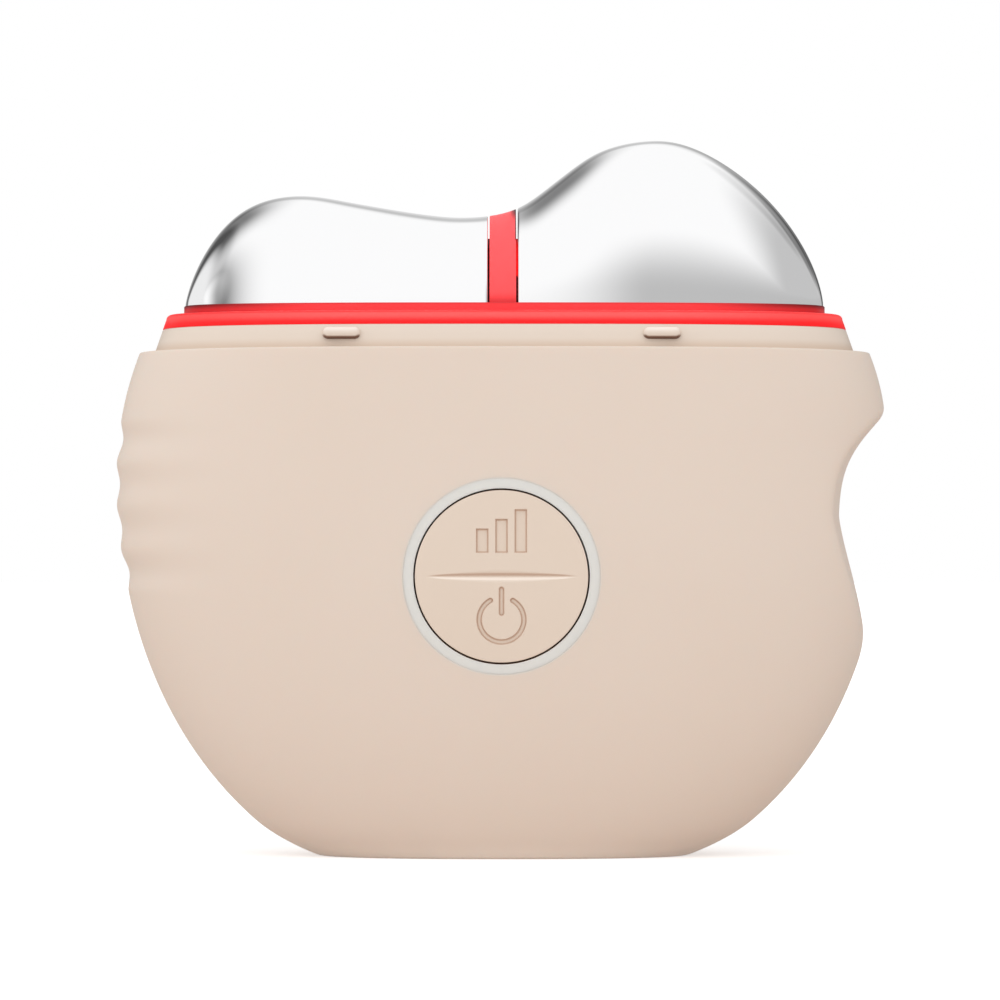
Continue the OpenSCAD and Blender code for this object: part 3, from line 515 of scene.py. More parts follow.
silicone = Finish("silicone", Subsurface_Weight=0.12, Subsurface_Radius=(1.0, 0.45, 0.3),
                  Subsurface_Scale=2 * MM, Specular_IOR_Level=0.3)
sleeve_beige = silicone.blend(silicone.noise(26, 1), colour(231, 219, 208), colour(228, 214, 201))
# The sleeve's lowest 2 mm are painted lighter: painted light that offsets the shade under its foot.
painted_foot_light = 1.0 - silicone.step(silicone.axis("Z"), 0.0, 2.0)
sleeve_beige = silicone.blend(painted_foot_light, sleeve_beige, colour(236, 225, 214))
# The ring's white is painted onto the front of the sleeve round it: a painted glow at the ring's
# edge.
glow_edge = (1.0 - off_ring(silicone)) * (1.0 - silicone.step(silicone.axis("Y"), -4.0, 0.0))
silicone.set("Base Color", silicone.blend(glow_edge, sleeve_beige, ring_white))
silicone.set("Roughness", 0.58 + 0.1 * silicone.noise(3, 3))
silicone.grain(silicone.noise(0.22, 2, 0.6), 0.004)
silicone.on(sleeve)


# ---- Hard housing ----
# Two moulded halves of hard plastic that meet at mid-depth and are screwed together from the
# back. The sleeve hides them up to their collar, whose four snap bumps hold the push-on cap.

housing_in = sleeve_wall + 0.1
cavity_in = housing_in + 1.6
collar_z = sleeve_h + 2.5
collar_taper = 0.98
collar_flare = 0.12
collar_left = float(left_at(sleeve_h)) * (1 - housing_in / half_w) * collar_taper
collar_right = float(right_at(sleeve_h)) * (1 - housing_in / half_w) * collar_taper
collar_d = float(depth_at(sleeve_h)) * (1 - housing_in / half_d) * collar_taper
throat_z = sleeve_h - 2
socket_w = 9.14
socket_t = 3.36
seam = 0.1


def collar_row(turn, step, z):
    """Row like the collar's top outline, larger or smaller by a step, at a height."""
    x, y = section(turn, collar_left + step, collar_right + step, collar_d + step)
    return level_row(x, y, z)


def lip_at(turn):
    """Height of the joint between the collar and the flange, which dips towards the ends."""
    return collar_z - 0.06 - 0.13 * np.cos(turn) ** 4


def socket_row(turn, z):
    """Row round the charging socket's opening at a height."""
    x, y = long_hole(turn, socket_w, socket_t)
    return level_row(x, y, z)


def housing_half(turn, hole):
    """Tables of half of the housing between its parting faces. The outside follows the body up
    to the sleeve's rim, steps out over it and tapers from there to the collar's top, and the
    inside follows it up to a straight throat. The outside is chamfered where the halves meet."""
    heights = np.append(np.linspace(0, throat_z - 1, 96), [throat_z, sleeve_h])
    outside = [inset(body_point(turn, z), housing_in) for z in heights]
    flare = inset(body_point(turn, sleeve_h), housing_in - collar_flare) + [0, 0, 0.03]
    top = collar_row(turn, 0, lip_at(turn))
    outside += between(flare, top, (0, 0.5, 0.96)) + [collar_row(turn, -0.02, lip_at(turn) - 0.03),
                                                     collar_row(turn, -0.1, lip_at(turn))]
    inside = [inset(body_point(turn, z), cavity_in) for z in heights[:-2]]
    throat = (throat_z, sleeve_h, sleeve_h + 0.03, sleeve_h + 1.25,
              collar_z - 0.1, collar_z - 0.03, collar_z)
    inside += [collar_row(turn, -1.6, z) for z in throat]
    outside = np.array([socket_row(turn, housing_in)] + outside)
    inside = np.array([socket_row(turn, cavity_in)] + inside)
    for end in (0, -1):
        outside[1:, end, 0] -= np.sign(outside[1:, end, 0]) * seam
    tables = [[outside[-1], inside[-1]], [outside[0], inside[0]],
              [outside[:, 0], inside[:, 0]], [outside[:, -1], inside[:, -1]]]
    if not hole:
        return tables + [outside, inside]
    place = window_round(np.append([-99.0], heights), turn, hole, 1.4)
    return tables + [
        (outside, open_window(outside, place)), (inside, open_window(inside, place)),
        bore(window_edge(outside, place), window_edge(inside, place), (housing_in, cavity_in),
             hole, 0.1),
    ]


bump_l = 3.92
bump_h = 1.2
bump_z = collar_z - 1.25 + 0.27
bump_y = collar_d / collar_taper - bump_h / 2 + 0.45 - 0.15
bump_x = 16.71
bump_middle = 0.02


def snap_bump(x, y):
    """Table of a stadium-shaped bump with rounded ends: a capsule whose section across is a
    superellipse of power 2.6, so that its face is flatter than a circle's."""
    along = np.linspace(-math.pi / 2, math.pi / 2, 25)[:, None]
    turn = np.linspace(0, 2 * math.pi, 49)
    reach = np.cos(along) * bump_h / 2
    middle = x + np.sign(along) * (bump_l - bump_h) / 2 * (abs(along) > 1e-9)
    power = 2 / 2.6
    across = np.sign(np.cos(turn)) * abs(np.cos(turn)) ** power
    up = np.sign(np.sin(turn)) * abs(np.sin(turn)) ** power
    return np.stack([middle + np.sin(along) * bump_h / 2 + 0 * turn,
                     y + reach * across, bump_z + reach * up], -1)


front_turns = np.concatenate([[math.pi, math.pi + 0.004],
                              np.linspace(math.pi, 2 * math.pi, 161)[1:-1],
                              [2 * math.pi - 0.004, 2 * math.pi]])
bump_places = (bump_middle - bump_x, bump_middle + bump_x)
front = make_piece("front_half", housing_half(front_turns, ring_out + 0.1)
                   + [snap_bump(x, -bump_y) for x in bump_places])
rear = make_piece("rear_half", housing_half(front_turns - math.pi, None)
                  + [snap_bump(x, bump_y) for x in bump_places])
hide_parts("front_housing")
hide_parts("rear_housing")

hard_plastic = Finish("beige_plastic", Specular_IOR_Level=0.4)
beige = hard_plastic.blend(hard_plastic.noise(18, 2), colour(231, 219, 207), colour(227, 214, 200))
# The collar is painted darker just above the sleeve's rim: painted shade in the crease where they
# meet.
painted_collar_shade = 1.0 - hard_plastic.step(hard_plastic.axis("Z"), sleeve_h, sleeve_h + 1.1)
# Painted light on each snap bump: a painted highlight on its upper half, and a painted shadow, a dark
# line under it where it stands off the collar.
past_bump = larger(abs(abs(hard_plastic.axis("X") - bump_middle) - bump_x)
                   - (bump_l - bump_h) / 2, 0)
above = hard_plastic.axis("Z") - bump_z
from_spine = (past_bump * past_bump + above * above) ** 0.5
painted_bump_shadow = (hard_plastic.step(from_spine, 0.26, 0.5)
              * (1.0 - hard_plastic.step(from_spine, 0.6, 0.72))
              * (1.0 - hard_plastic.step(above, -0.42, -0.12)))
painted_bump_highlight = (1.0 - hard_plastic.step(from_spine, 0.52, 0.6)) * hard_plastic.step(above, -0.2, 0.4)
# The beige, with the collar's painted shade and the bumps' painted highlight and shadow.
moulded = hard_plastic.blend(painted_collar_shade, beige, colour(216, 196, 178))
moulded = hard_plastic.blend(painted_bump_highlight, moulded, colour(244, 234, 224))
hard_plastic.set("Base Color", hard_plastic.blend(painted_bump_shadow, moulded, colour(116, 80, 62)))
hard_plastic.set("Roughness", 0.42 + 0.08 * hard_plastic.noise(2, 3))
hard_plastic.grain(hard_plastic.noise(0.15, 2, 0.5), 0.002)
hard_plastic.on(front, rear)


# ---- Red light base ----
# One moulding of translucent red plastic that closes the collar and carries the electrodes.
# Lamps on the white board below it light it up: its flange, the plinth under the electrodes,
# and the divider that stands between them. Its skirt drops into the housing.

flange_h = 1.4
flange_round = 0.5
flange_lean = 0.36
plinth_h = 1
plinth_rim = 0.15
plinth_z = collar_z + flange_h
head_z = plinth_z + plinth_h
skirt_z = collar_z - 3
divider_x = 0.14
divider_w = 2.8
head_w = 68.2
head_d = 19.4
head_x = (collar_right - collar_left) / 2
head_left = head_x - head_w / 2
head_right = head_x + head_w / 2
lobe_left_h = 11.93
lobe_right_h = 17.87
left_peak = head_left + 12.58
right_peak = head_right - 17.08
arch_power = 2.2
saddle = np.array([
    [left_peak, lobe_left_h],
    [-15.19, 11],
    [-8.86, 9.96],
    [-3.76, 9.53],
    [1.74, 10.43],
    [5.74, 13.34],
    [10.51, 16.69],
    [right_peak, lobe_right_h],
])


def quarter(share, power, rise=None):
    """Height of a rounded quarter: (1 - share^power)^(1/rise), where the rise's power is the
    same one if none is given."""
    return np.maximum(1 - np.clip(share, 0, 1) ** power, 0) ** (1 / (rise or power))


def saddle_at(x):
    """Cubic curve through the saddle's points. Its slope at a point is that from the point
    before to the one after, and it is level at both ends."""
    px, pz = saddle.T
    slope = np.zeros(len(px))
    slope[1:-1] = (pz[2:] - pz[:-2]) / (px[2:] - px[:-2])
    i = np.clip(np.searchsorted(px, x) - 1, 0, len(px) - 2)
    span = px[i + 1] - px[i]
    t = (x - px[i]) / span
    return (pz[i] * (1 + 2 * t) * (1 - t) ** 2 + pz[i + 1] * t ** 2 * (3 - 2 * t)
            + span * (slope[i] * t * (1 - t) ** 2 - slope[i + 1] * t ** 2 * (1 - t)))


def raw_top(x, wall=0):
    """Height of the head's top, or of one a wall inside it: a rounded quarter at each end and
    the saddle between."""
    left = quarter((left_peak - x) / (left_peak - head_left - wall), 2.47, 1.38)
    right = quarter((x - right_peak) / (head_right - right_peak - wall), 1.57, 1.63)
    return np.where(x < left_peak, left * (lobe_left_h - wall),
                    np.where(x > right_peak, right * (lobe_right_h - wall), saddle_at(x) - wall))


polish = 1.3
fine_x = np.linspace(head_left, head_right, 6821)
fine_step = fine_x[1] - fine_x[0]
spread = np.arange(-int(4 * polish / fine_step), int(4 * polish / fine_step) + 1) * fine_step
weight = np.exp(-(spread / polish) ** 2 / 2)
long_top = np.pad(raw_top(fine_x), len(spread) // 2, mode="edge")
soft_top = np.convolve(long_top, weight / weight.sum(), mode="valid")
tip_near = np.minimum(fine_x - head_left, head_right - fine_x)
tip_share = np.clip((tip_near - 5) / 6, 0, 1)
tip_share = tip_share ** 2 * (3 - 2 * tip_share)
fine_top = raw_top(fine_x) * (1 - tip_share) + soft_top * tip_share


def head_top(x):
    """Height of the head's top, smoothed as polishing does: the formula's curve averaged with
    a bell-shaped weight, except at its tips."""
    return np.interp(x, fine_x, fine_top)


def foot_depth(x, wall=0):
    """Half-depth of the head's foot at a place across."""
    return (head_d / 2 - wall) * quarter(abs(x - head_x) / (head_w / 2 - wall), plan_power)


def arches(x, top, deep, steps):
    """Table with an arch at each place across, a superellipse quarter up and one down."""
    turn = np.linspace(0, math.pi, steps + 1)
    up = np.sin(turn).clip(0) ** (2 / arch_power)
    out = np.sign(np.cos(turn)) * abs(np.cos(turn)) ** (2 / arch_power)
    x, top, deep = (np.asarray(v, float)[:, None] for v in (x, top, deep))
    return np.stack([x + 0 * turn, deep * out, head_z + top * up], -1)


def end_face(arch):
    """Flat end of an arch: from its points to the middle of its foot."""
    middle = np.array([arch[0, 0], 0, head_z])
    return np.array([arch, np.broadcast_to(middle, arch.shape)])


def plinth_row(turn, grow, z):
    """Row like the plinth's outline, larger or smaller by a step, at a height."""
    rim = plinth_rim + grow
    x, y = section(turn, rim - head_left, rim + head_right, head_d / 2 + rim)
    return level_row(x, y, z)


def to_middle(row):
    """Row at the middle of another, which closes a level face."""
    return np.broadcast_to(np.array([head_x, 0, row[0, 2]]), row.shape)


base_turns = np.linspace(0, 2 * math.pi, 361)
inner_skirt = collar_row(base_turns, -3.2, skirt_z)
flange_edge = [collar_row(base_turns, -flange_lean - into, plinth_z - flange_round + along)
               for along, into in quarter_turn(8, flange_round)]
plinth_foot = plinth_row(base_turns, 0.08, plinth_z)
plinth_round = 0.12
plinth_edge = [plinth_row(base_turns, -into, head_z - plinth_round + along)
               for along, into in quarter_turn(4, plinth_round)]
roof = collar_row(base_turns, -3.2, collar_z)
shell_rows = ([to_middle(roof), roof, inner_skirt, collar_row(base_turns, -1.7, skirt_z),
               collar_row(base_turns, -1.7, collar_z),
               collar_row(base_turns, -0.06, lip_at(base_turns)),
               collar_row(base_turns, 0, lip_at(base_turns) + 0.06)]
              + flange_edge
              + between(flange_edge[-1], plinth_foot, (0.2, 0.8))
              + [plinth_foot, plinth_row(base_turns, 0, plinth_z + 0.08)]
              + plinth_edge + [to_middle(plinth_edge[-1])])
slab_edge = 0.08
slab_start, slab_end = divider_x - divider_w / 2, divider_x + divider_w / 2
slab_curve = slab_edge * (1 - np.cos(np.linspace(0, math.pi / 2, 4)))
slab_x = np.sort(np.concatenate([slab_start + slab_curve,
                                 [divider_x - 0.7, divider_x, divider_x + 0.7],
                                 slab_end - slab_curve]))
to_side = np.minimum(slab_x - slab_start, slab_end - slab_x).clip(0, slab_edge)
slab_in = slab_edge - np.sqrt(slab_edge ** 2 - (slab_edge - to_side) ** 2)
slab = arches(slab_x, head_top(slab_x) - slab_in, foot_depth(slab_x) - slab_in, 120)
slab_foot = level_row(slab_x, 0 * slab_x, head_z)
light_base = make_piece("light_base_moulding", [
    shell_rows, slab, end_face(slab[0]), end_face(slab[-1]), [slab[:, 0], slab_foot, slab[:, -1]],
])
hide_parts("light_base")

red = Finish("lit_red_plastic", Roughness=0.4, Specular_IOR_Level=0.15, Subsurface_Weight=0.3,
             Subsurface_Radius=(1.0, 0.1, 0.08), Subsurface_Scale=1.2 * MM, Emission_Strength=0.3)
# Painted light and shade, in the colour and the glow alike: a painted highlight on the flange's
# rounded edge, which is brightest, painted shade that darkens the plinth towards its ends and its top
# edge, and a painted shadow of the taller dome on the divider's top corner on the right.
height = red.axis("Z")
outward = red.step(abs(red.axis("X") - head_x), 17.0, 35.0)
upright = red.step(height, head_z - 0.1, head_z + 1.2)
band = red.step(height, plinth_z - 0.1, plinth_z + 0.05)
flange_edge_lit = (red.step(height, collar_z + 0.15, collar_z + 0.95) * (1.0 - 0.35 * outward)
                   * (1.0 - 0.8 * red.step(height, collar_z + 1.05, plinth_z - 0.05)))
flange_red = red.blend(flange_edge_lit, colour(248, 30, 34), colour(248, 92, 92))
plinth_red = red.blend(outward, colour(236, 66, 70), colour(206, 40, 46))
shaded = band * larger(red.step(height, plinth_z + 0.35, head_z + 0.05) * outward,
                       0.4 * red.step(height, head_z - 0.3, head_z))
# The flange's foot is painted darker where it meets the collar: painted shade in the joint.
painted_flange_foot_shade = 1.0 - red.step(height, collar_z - 0.16, collar_z + 0.06)
# Painted shadow of the taller dome on the divider's top corner on the right.
corner = larger(
    red.step(height, head_z + 8.4, head_z + 10.2) * red.step(red.axis("X"), slab_end - 0.9, slab_end),
    red.step(height, head_z + 6.4, head_z + 6.9)
    * red.step(red.axis("X"), slab_end - 0.16, slab_end - 0.04))
lower = red.blend(shaded, red.blend(band, flange_red, plinth_red), colour(58, 16, 22))
lower = red.blend(0.35 * painted_flange_foot_shade, lower, colour(90, 30, 30))
divider_red = red.blend(upright, lower, colour(250, 92, 96))
red.set("Base Color", red.blend(corner, divider_red, colour(60, 20, 24)))
# The glow is painted: the emission stands in for the light of the lamps under the moulding, and
# carries the same painted highlight and shade.
flange_glow = red.blend(flange_edge_lit, colour(240, 24, 26), colour(255, 76, 76))
glow = red.blend(band, flange_glow, red.blend(outward, colour(226, 56, 60), colour(110, 14, 16)))
divider_glow = red.blend(upright, glow, colour(255, 66, 70))
red.set("Emission Color", red.blend(corner, divider_glow, colour(40, 8, 8)))
red.on(light_base)

# A dark strip lies along each side of the divider, a little below the domes' surface: a dark piece
# that stands in for the shade in the narrow gaps.
strip_sunk = 0.35
strip_x = np.array([slab_start - 0.18, slab_start - 0.02, slab_end + 0.02, slab_end + 0.18])
strip_top = np.minimum(head_top(strip_x) - strip_sunk, 7.3)
strip = arches(strip_x, strip_top, foot_depth(strip_x) - strip_sunk, 80)
strip_foot = level_row(strip_x, 0 * strip_x, head_z)
gap_shade_strip = make_piece("gap_shade_strip", [
    strip, end_face(strip[0]), end_face(strip[-1]), [strip[:, 0], strip_foot, strip[:, -1]],
])
seal_rubber = Finish("gap_shade_strip_finish", Specular_IOR_Level=0.2, Emission_Strength=0.5)
# The right strip is painted glowing red above about 3 mm up: a painted glow of the lit divider beside
# it.
lit_edge = (seal_rubber.step(seal_rubber.axis("X"), 0, 1)
            * seal_rubber.step(seal_rubber.axis("Z"), head_z + 2.7, head_z + 2.95))
seal_rubber.set("Base Color", seal_rubber.blend(lit_edge, colour(38, 22, 24), colour(225, 14, 16)))
seal_rubber.set("Emission Color", seal_rubber.blend(lit_edge, (0, 0, 0, 1), colour(225, 10, 12)))
seal_rubber.set("Roughness", 0.6 + 0.1 * seal_rubber.noise(0.5, 2))
seal_rubber.on(gap_shade_strip)


# ---- Electrodes ----
# Two hollow domes of polished, chromed zinc with flat, softly rounded ends at the divider.
# Each is screwed down onto the red base from below, over a seal and a brass contact lug.

electrode_wall = 1.4
electrode_gap = 0.2
edge_round = 0.12


def even_places(start, end, count, tip):
    """Places from a tip to an end at even steps along the curve of foot and top, so that they
    crowd at the tip, where both fall away."""
    t = np.linspace(0, 1, 4001) ** 3
    x = start + (end - start) * t
    way = np.concatenate([[0], np.cumsum(np.sqrt(np.diff(x) ** 2 + np.diff(foot_depth(x)) ** 2
                                                 + np.diff(tip(x)) ** 2))])
    return np.interp(np.linspace(0, way[-1], count), way, x)


def electrode(name, start, end):
    """Dome from its tip to its flat end, with the same dome a wall inside it, joined by a rim
    along its foot. The outer dome's edge is rounded over at the flat end."""
    inward = np.sign(start - end)
    outer_x = even_places(start, end + inward * edge_round, 280, head_top)
    outer = arches(outer_x, head_top(outer_x), foot_depth(outer_x), 150)
    turn = np.linspace(0, math.pi / 2, 7)[1:]
    edge_x = end + inward * edge_round * (1 - np.sin(turn))
    edge_in = edge_round * (1 - np.cos(turn))
    edge = arches(edge_x, head_top(edge_x) - edge_in, foot_depth(edge_x) - edge_in, 150)
    outer = np.concatenate([outer, edge])

    def inner_top(x):
        return raw_top(x, electrode_wall)

    inner_end = end + inward * electrode_wall
    inner_x = even_places(start - inward * electrode_wall, inner_end, len(outer), inner_top)
    inner = arches(inner_x, inner_top(inner_x), foot_depth(inner_x, electrode_wall), 30)
    outer_foot = [outer[-1, 0], [edge_x[-1], 0, head_z], outer[-1, -1]]
    inner_foot = [inner[-1, 0], [inner_x[-1], 0, head_z], inner[-1, -1]]
    return make_piece(name, [
        outer, end_face(outer[-1]), inner, end_face(inner[-1]),
        [outer[:, 0], inner[:, 0]], [outer[:, -1], inner[:, -1]], [outer_foot, inner_foot],
    ])


left_lobe = electrode("left_lobe", head_left, slab_start - electrode_gap)
right_lobe = electrode("right_lobe", head_right, slab_end + electrode_gap)
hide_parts("left_electrode")
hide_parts("right_electrode")

chrome = Finish("polished_chrome", Metallic=1.0, Base_Color=(0.965, 0.965, 0.97, 1))
chrome.set("Roughness", 0.05 + 0.02 * chrome.noise(9, 2))
chrome.on(left_lobe, right_lobe)


# ---- Light ring ----
# A milky plastic light guide, pushed into the housing from inside and held by its lip. Lamps on
# the main board shine into its back, and its face is flush with the sleeve.

seat_depth = cavity_in + 1.4
ring_back = seat_depth + 0.8
ring_turns = np.linspace(0, 2 * math.pi, 321)
ring_c, ring_s = np.cos(ring_turns), np.sin(ring_turns)


def ring_row(r, sink):
    """Row of the ring's face at a radius, sunk below the body's face."""
    return on_face(r * ring_c, r * ring_s, 0, sink)


def tube_row(r, depth):
    """Row of the ring's tube at a radius and a depth."""
    return at_face(r * ring_c, r * ring_s, depth + 0 * ring_c)


ring_edge = 0.006
light_ring = make_piece("light_guide_ring", [
    [tube_row(ring_in, ring_back)]
    + [ring_row(ring_in + into, ring_edge - along) for along, into in quarter_turn(4, ring_edge)]
    + [ring_row(r, 0) for r in np.linspace(ring_in + 0.2, ring_out - 0.2, 5)]
    + [ring_row(ring_out - into, ring_edge - along)
       for along, into in reversed(quarter_turn(4, ring_edge))]
    + [tube_row(ring_out, seat_depth), tube_row(ring_out + 1.2, seat_depth),
       tube_row(ring_out + 1.2, ring_back), tube_row(ring_in, ring_back)],
])
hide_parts("light_ring")

milky = Finish("milky_plastic", Roughness=0.45, Subsurface_Weight=0.4,
               Subsurface_Radius=(1.0, 0.95, 0.85), Subsurface_Scale=1.5 * MM,
               Specular_IOR_Level=0.3)
milky_white = milky.blend(milky.noise(6, 2), ring_white, colour(230, 233, 229))
# The ring's bore is painted dark: painted shade in the gap round the button.
painted_bore_shade = 1.0 - milky.step(from_middle(milky), ring_in + 0.002, ring_in + 0.014)
milky_white = milky.blend(painted_bore_shade, milky_white, colour(112, 84, 64))
# The sleeve's beige is painted onto the ring's outer edge, the other half of the same painted glow.
milky.set("Base Color", milky.blend(off_ring(milky), milky_white, colour(231, 218, 206)))
milky.on(light_ring)


# ---- Rocker button ----
# A disc of hard plastic that rocks on a steel pin: its upper half sets the level and its lower
# half is the power switch. The bars, the groove and the power mark are moulded into its face.

button_r = 9
button_edge = 0.1
button_back = 2.0
mark_depth = 0.28
mark_wall = 0.1
bars = [(-2, 2.45), (0, 3.45), (2, 4.45)]
bar_w = 1.22
bar_foot = 2.5
groove_l = 16.2
groove_w = 1
groove_depth = 0.28
power_y = 4.5
power_r = 2.32
power_stroke = 0.5
power_gap = math.radians(60)
power_bar = (-3.17, -0.69)


def dug(distance, depth, wall=mark_wall):
    """Depth of a moulded-in mark at a distance outside its outline: full from half a wall
    inside it, nothing from half a wall outside it, with a smooth wall between."""
    share = np.clip(0.5 - distance / wall, 0, 1)
    return depth * share ** 2 * (3 - 2 * share)


def from_mark(x, y):
    """Distance of a place on the face outside the bars and the power mark, and below zero inside
    them. A bar is a box, and the power mark is an arc with round ends and a stroke."""
    bars_away = 99
    for place, tall in bars:
        bar = larger(abs(x - place) - bar_w / 2, abs(y + bar_foot + tall / 2) - tall / 2)
        bars_away = smaller(bar, bars_away)
    y = y - power_y
    in_gap = abs(x) + y * math.tan(power_gap / 2)
    arc = larger(abs((x * x + y * y) ** 0.5 - power_r), -10 * in_gap)
    end_x, end_y = power_r * math.sin(power_gap / 2), -power_r * math.cos(power_gap / 2)
    arc = smaller(arc, ((abs(x) - end_x) ** 2 + (y - end_y) ** 2) ** 0.5)
    past = larger(abs(y - sum(power_bar) / 2) - (power_bar[1] - power_bar[0]) / 2, 0)
    stroke = (x * x + past * past) ** 0.5
    return smaller(bars_away, smaller(arc, stroke) - power_stroke / 2)


def marks_at(x, y):
    """Depth of the marks at a place across and down the face. The groove is a lens with a
    round-bottomed V."""
    half = groove_w / 2 * np.maximum(1 - (2 * x / groove_l) ** 2, 0)
    bottom = groove_depth * (half / (groove_w / 2))
    side = np.clip(1 - np.sqrt(y ** 2 + 0.04 ** 2) / np.maximum(half + 0.04, 1e-6), 0, 1)
    return np.maximum(dug(from_mark(x, y), mark_depth), bottom * side)


def stations(*spans):
    """Places from -1 to 1 for a grid. A span is the place where it ends and its steps."""
    places = [-1.0]
    for end, steps in spans:
        places += list(np.linspace(places[-1], end, steps + 1)[1:])
    return np.array(places)


def disc_grid(across, down):
    """Square grid pressed into the unit disc: each coordinate is scaled by the root of one less
    half the other's square."""
    u, v = np.meshgrid(across, down)
    return u * np.sqrt(1 - v ** 2 / 2), v * np.sqrt(1 - u ** 2 / 2)


flat_r = button_r - button_edge
cap_x, cap_y = disc_grid(stations((-0.4, 24), (0.4, 190), (1, 24)),
                         stations((-0.81, 10), (-0.26, 140), (-0.06, 8), (0.06, 24), (0.11, 3),
                                  (0.81, 176), (1, 10)))
cap_x, cap_y = cap_x * flat_r, cap_y * flat_r
cap_face = on_face(cap_x, cap_y, 0, marks_at(cap_x, cap_y))
rim_x = np.concatenate([cap_x[0, :-1], cap_x[:-1, -1], cap_x[-1, :0:-1], cap_x[::-1, 0]]) / flat_r
rim_y = np.concatenate([cap_y[0, :-1], cap_y[:-1, -1], cap_y[-1, :0:-1], cap_y[::-1, 0]]) / flat_r


def cap_row(r, sink):
    """Row round the cap at a radius, sunk below the body's face."""
    return on_face(r * rim_x, r * rim_y, 0, sink)


def cap_back_row(r, depth):
    """Row round the cap's back at a radius and a depth in the button's plane."""
    return at_face(r * rim_x, r * rim_y, depth + 0 * rim_x)


def drum(across, down, r, start, end):
    """Tables of a closed round boss in the button's frame."""
    turn = np.linspace(0, 2 * math.pi, 41)
    rows = [(0, start), (r, start), (r, end), (0, end)]
    return [[at_face(across + q * np.cos(turn), down + q * np.sin(turn), d + 0 * turn)
             for q, d in rows]]


hub_r = 1.35
hub_l = 5
pin_depth = 2.9
post_down = 5
post_r = 1.3
post_end = 5.7
hub_turn = np.linspace(0, 2 * math.pi, 41)
hub = [[at_face(x + 0 * hub_turn, q * np.cos(hub_turn), pin_depth + q * np.sin(hub_turn))
        for x, q in ((-hub_l, 0), (-hub_l, hub_r), (hub_l, hub_r), (hub_l, 0))]]
posts = (drum(0, -post_down, post_r, button_back - 0.1, post_end)
         + drum(0, post_down, post_r, button_back - 0.1, post_end))
cap = make_piece("rocker_cap", [
    cap_face,
    [cap_row(button_r - into, button_edge - along)
     for along, into in reversed(quarter_turn(5, button_edge))]
    + [cap_back_row(r, button_back) for r in (button_r, 0.01, 0)],
] + hub + posts, "button", 60)
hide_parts("button_cap")

cap_plastic = Finish("button_plastic", Specular_IOR_Level=0.35)
cap_across = cap_plastic.axis("X")
cap_down = (button_z - cap_plastic.axis("Z")) * (1 / math.cos(lean))
face_beige = cap_plastic.blend(cap_plastic.noise(12, 2), colour(231, 218, 204),
                               colour(228, 214, 199))
# The walls of the bars and the power mark are painted darker: painted shade in the recesses.
painted_mark_shade = 1.0 - cap_plastic.step(abs(from_mark(cap_across, cap_down) + 0.05), 0.03, 0.13)
face_beige = cap_plastic.blend(0.6 * painted_mark_shade, face_beige, colour(187, 146, 119))
half_groove = 0.5 * larger(1.0 - cap_across * cap_across * (4 / groove_l ** 2), 0.0001) ** 0.6
slope = cap_down * half_groove ** -1
open_groove = 1.0 - cap_plastic.step(abs(cap_across), 6.2, groove_l / 2)
# The groove's upper side is painted darker and its lower side lighter: painted shade and a painted
# highlight, as light from above falls on its V.
painted_groove_shade = cap_plastic.step(slope, -0.95, -0.55) * (1.0 - cap_plastic.step(slope, -0.5, 0.15))
painted_groove_highlight = cap_plastic.step(slope, 0.0, 0.42) * (1.0 - cap_plastic.step(slope, 0.5, 0.95))
face_beige = cap_plastic.blend(painted_groove_shade * open_groove, face_beige, colour(201, 175, 157))
face_beige = cap_plastic.blend(painted_groove_highlight * open_groove, face_beige, colour(250, 239, 228))
# The cap's side is painted dark: painted shade in the gap round the button.
painted_cap_side_shade = cap_plastic.step(from_middle(cap_plastic), button_r - 0.03, button_r - 0.005)
cap_plastic.set("Base Color", cap_plastic.blend(painted_cap_side_shade, face_beige, colour(104, 74, 56)))
cap_plastic.set("Roughness", 0.5 + 0.08 * cap_plastic.noise(2, 3))
cap_plastic.grain(cap_plastic.noise(0.15, 2, 0.5), 0.002)
cap_plastic.on(cap)


# ---- Works inside ----
# Everything that the shell hides, as it is bought in or moulded: boards, cell, switches, screws,
# seals and leads. Only the charging socket shows, through the opening in the foot.

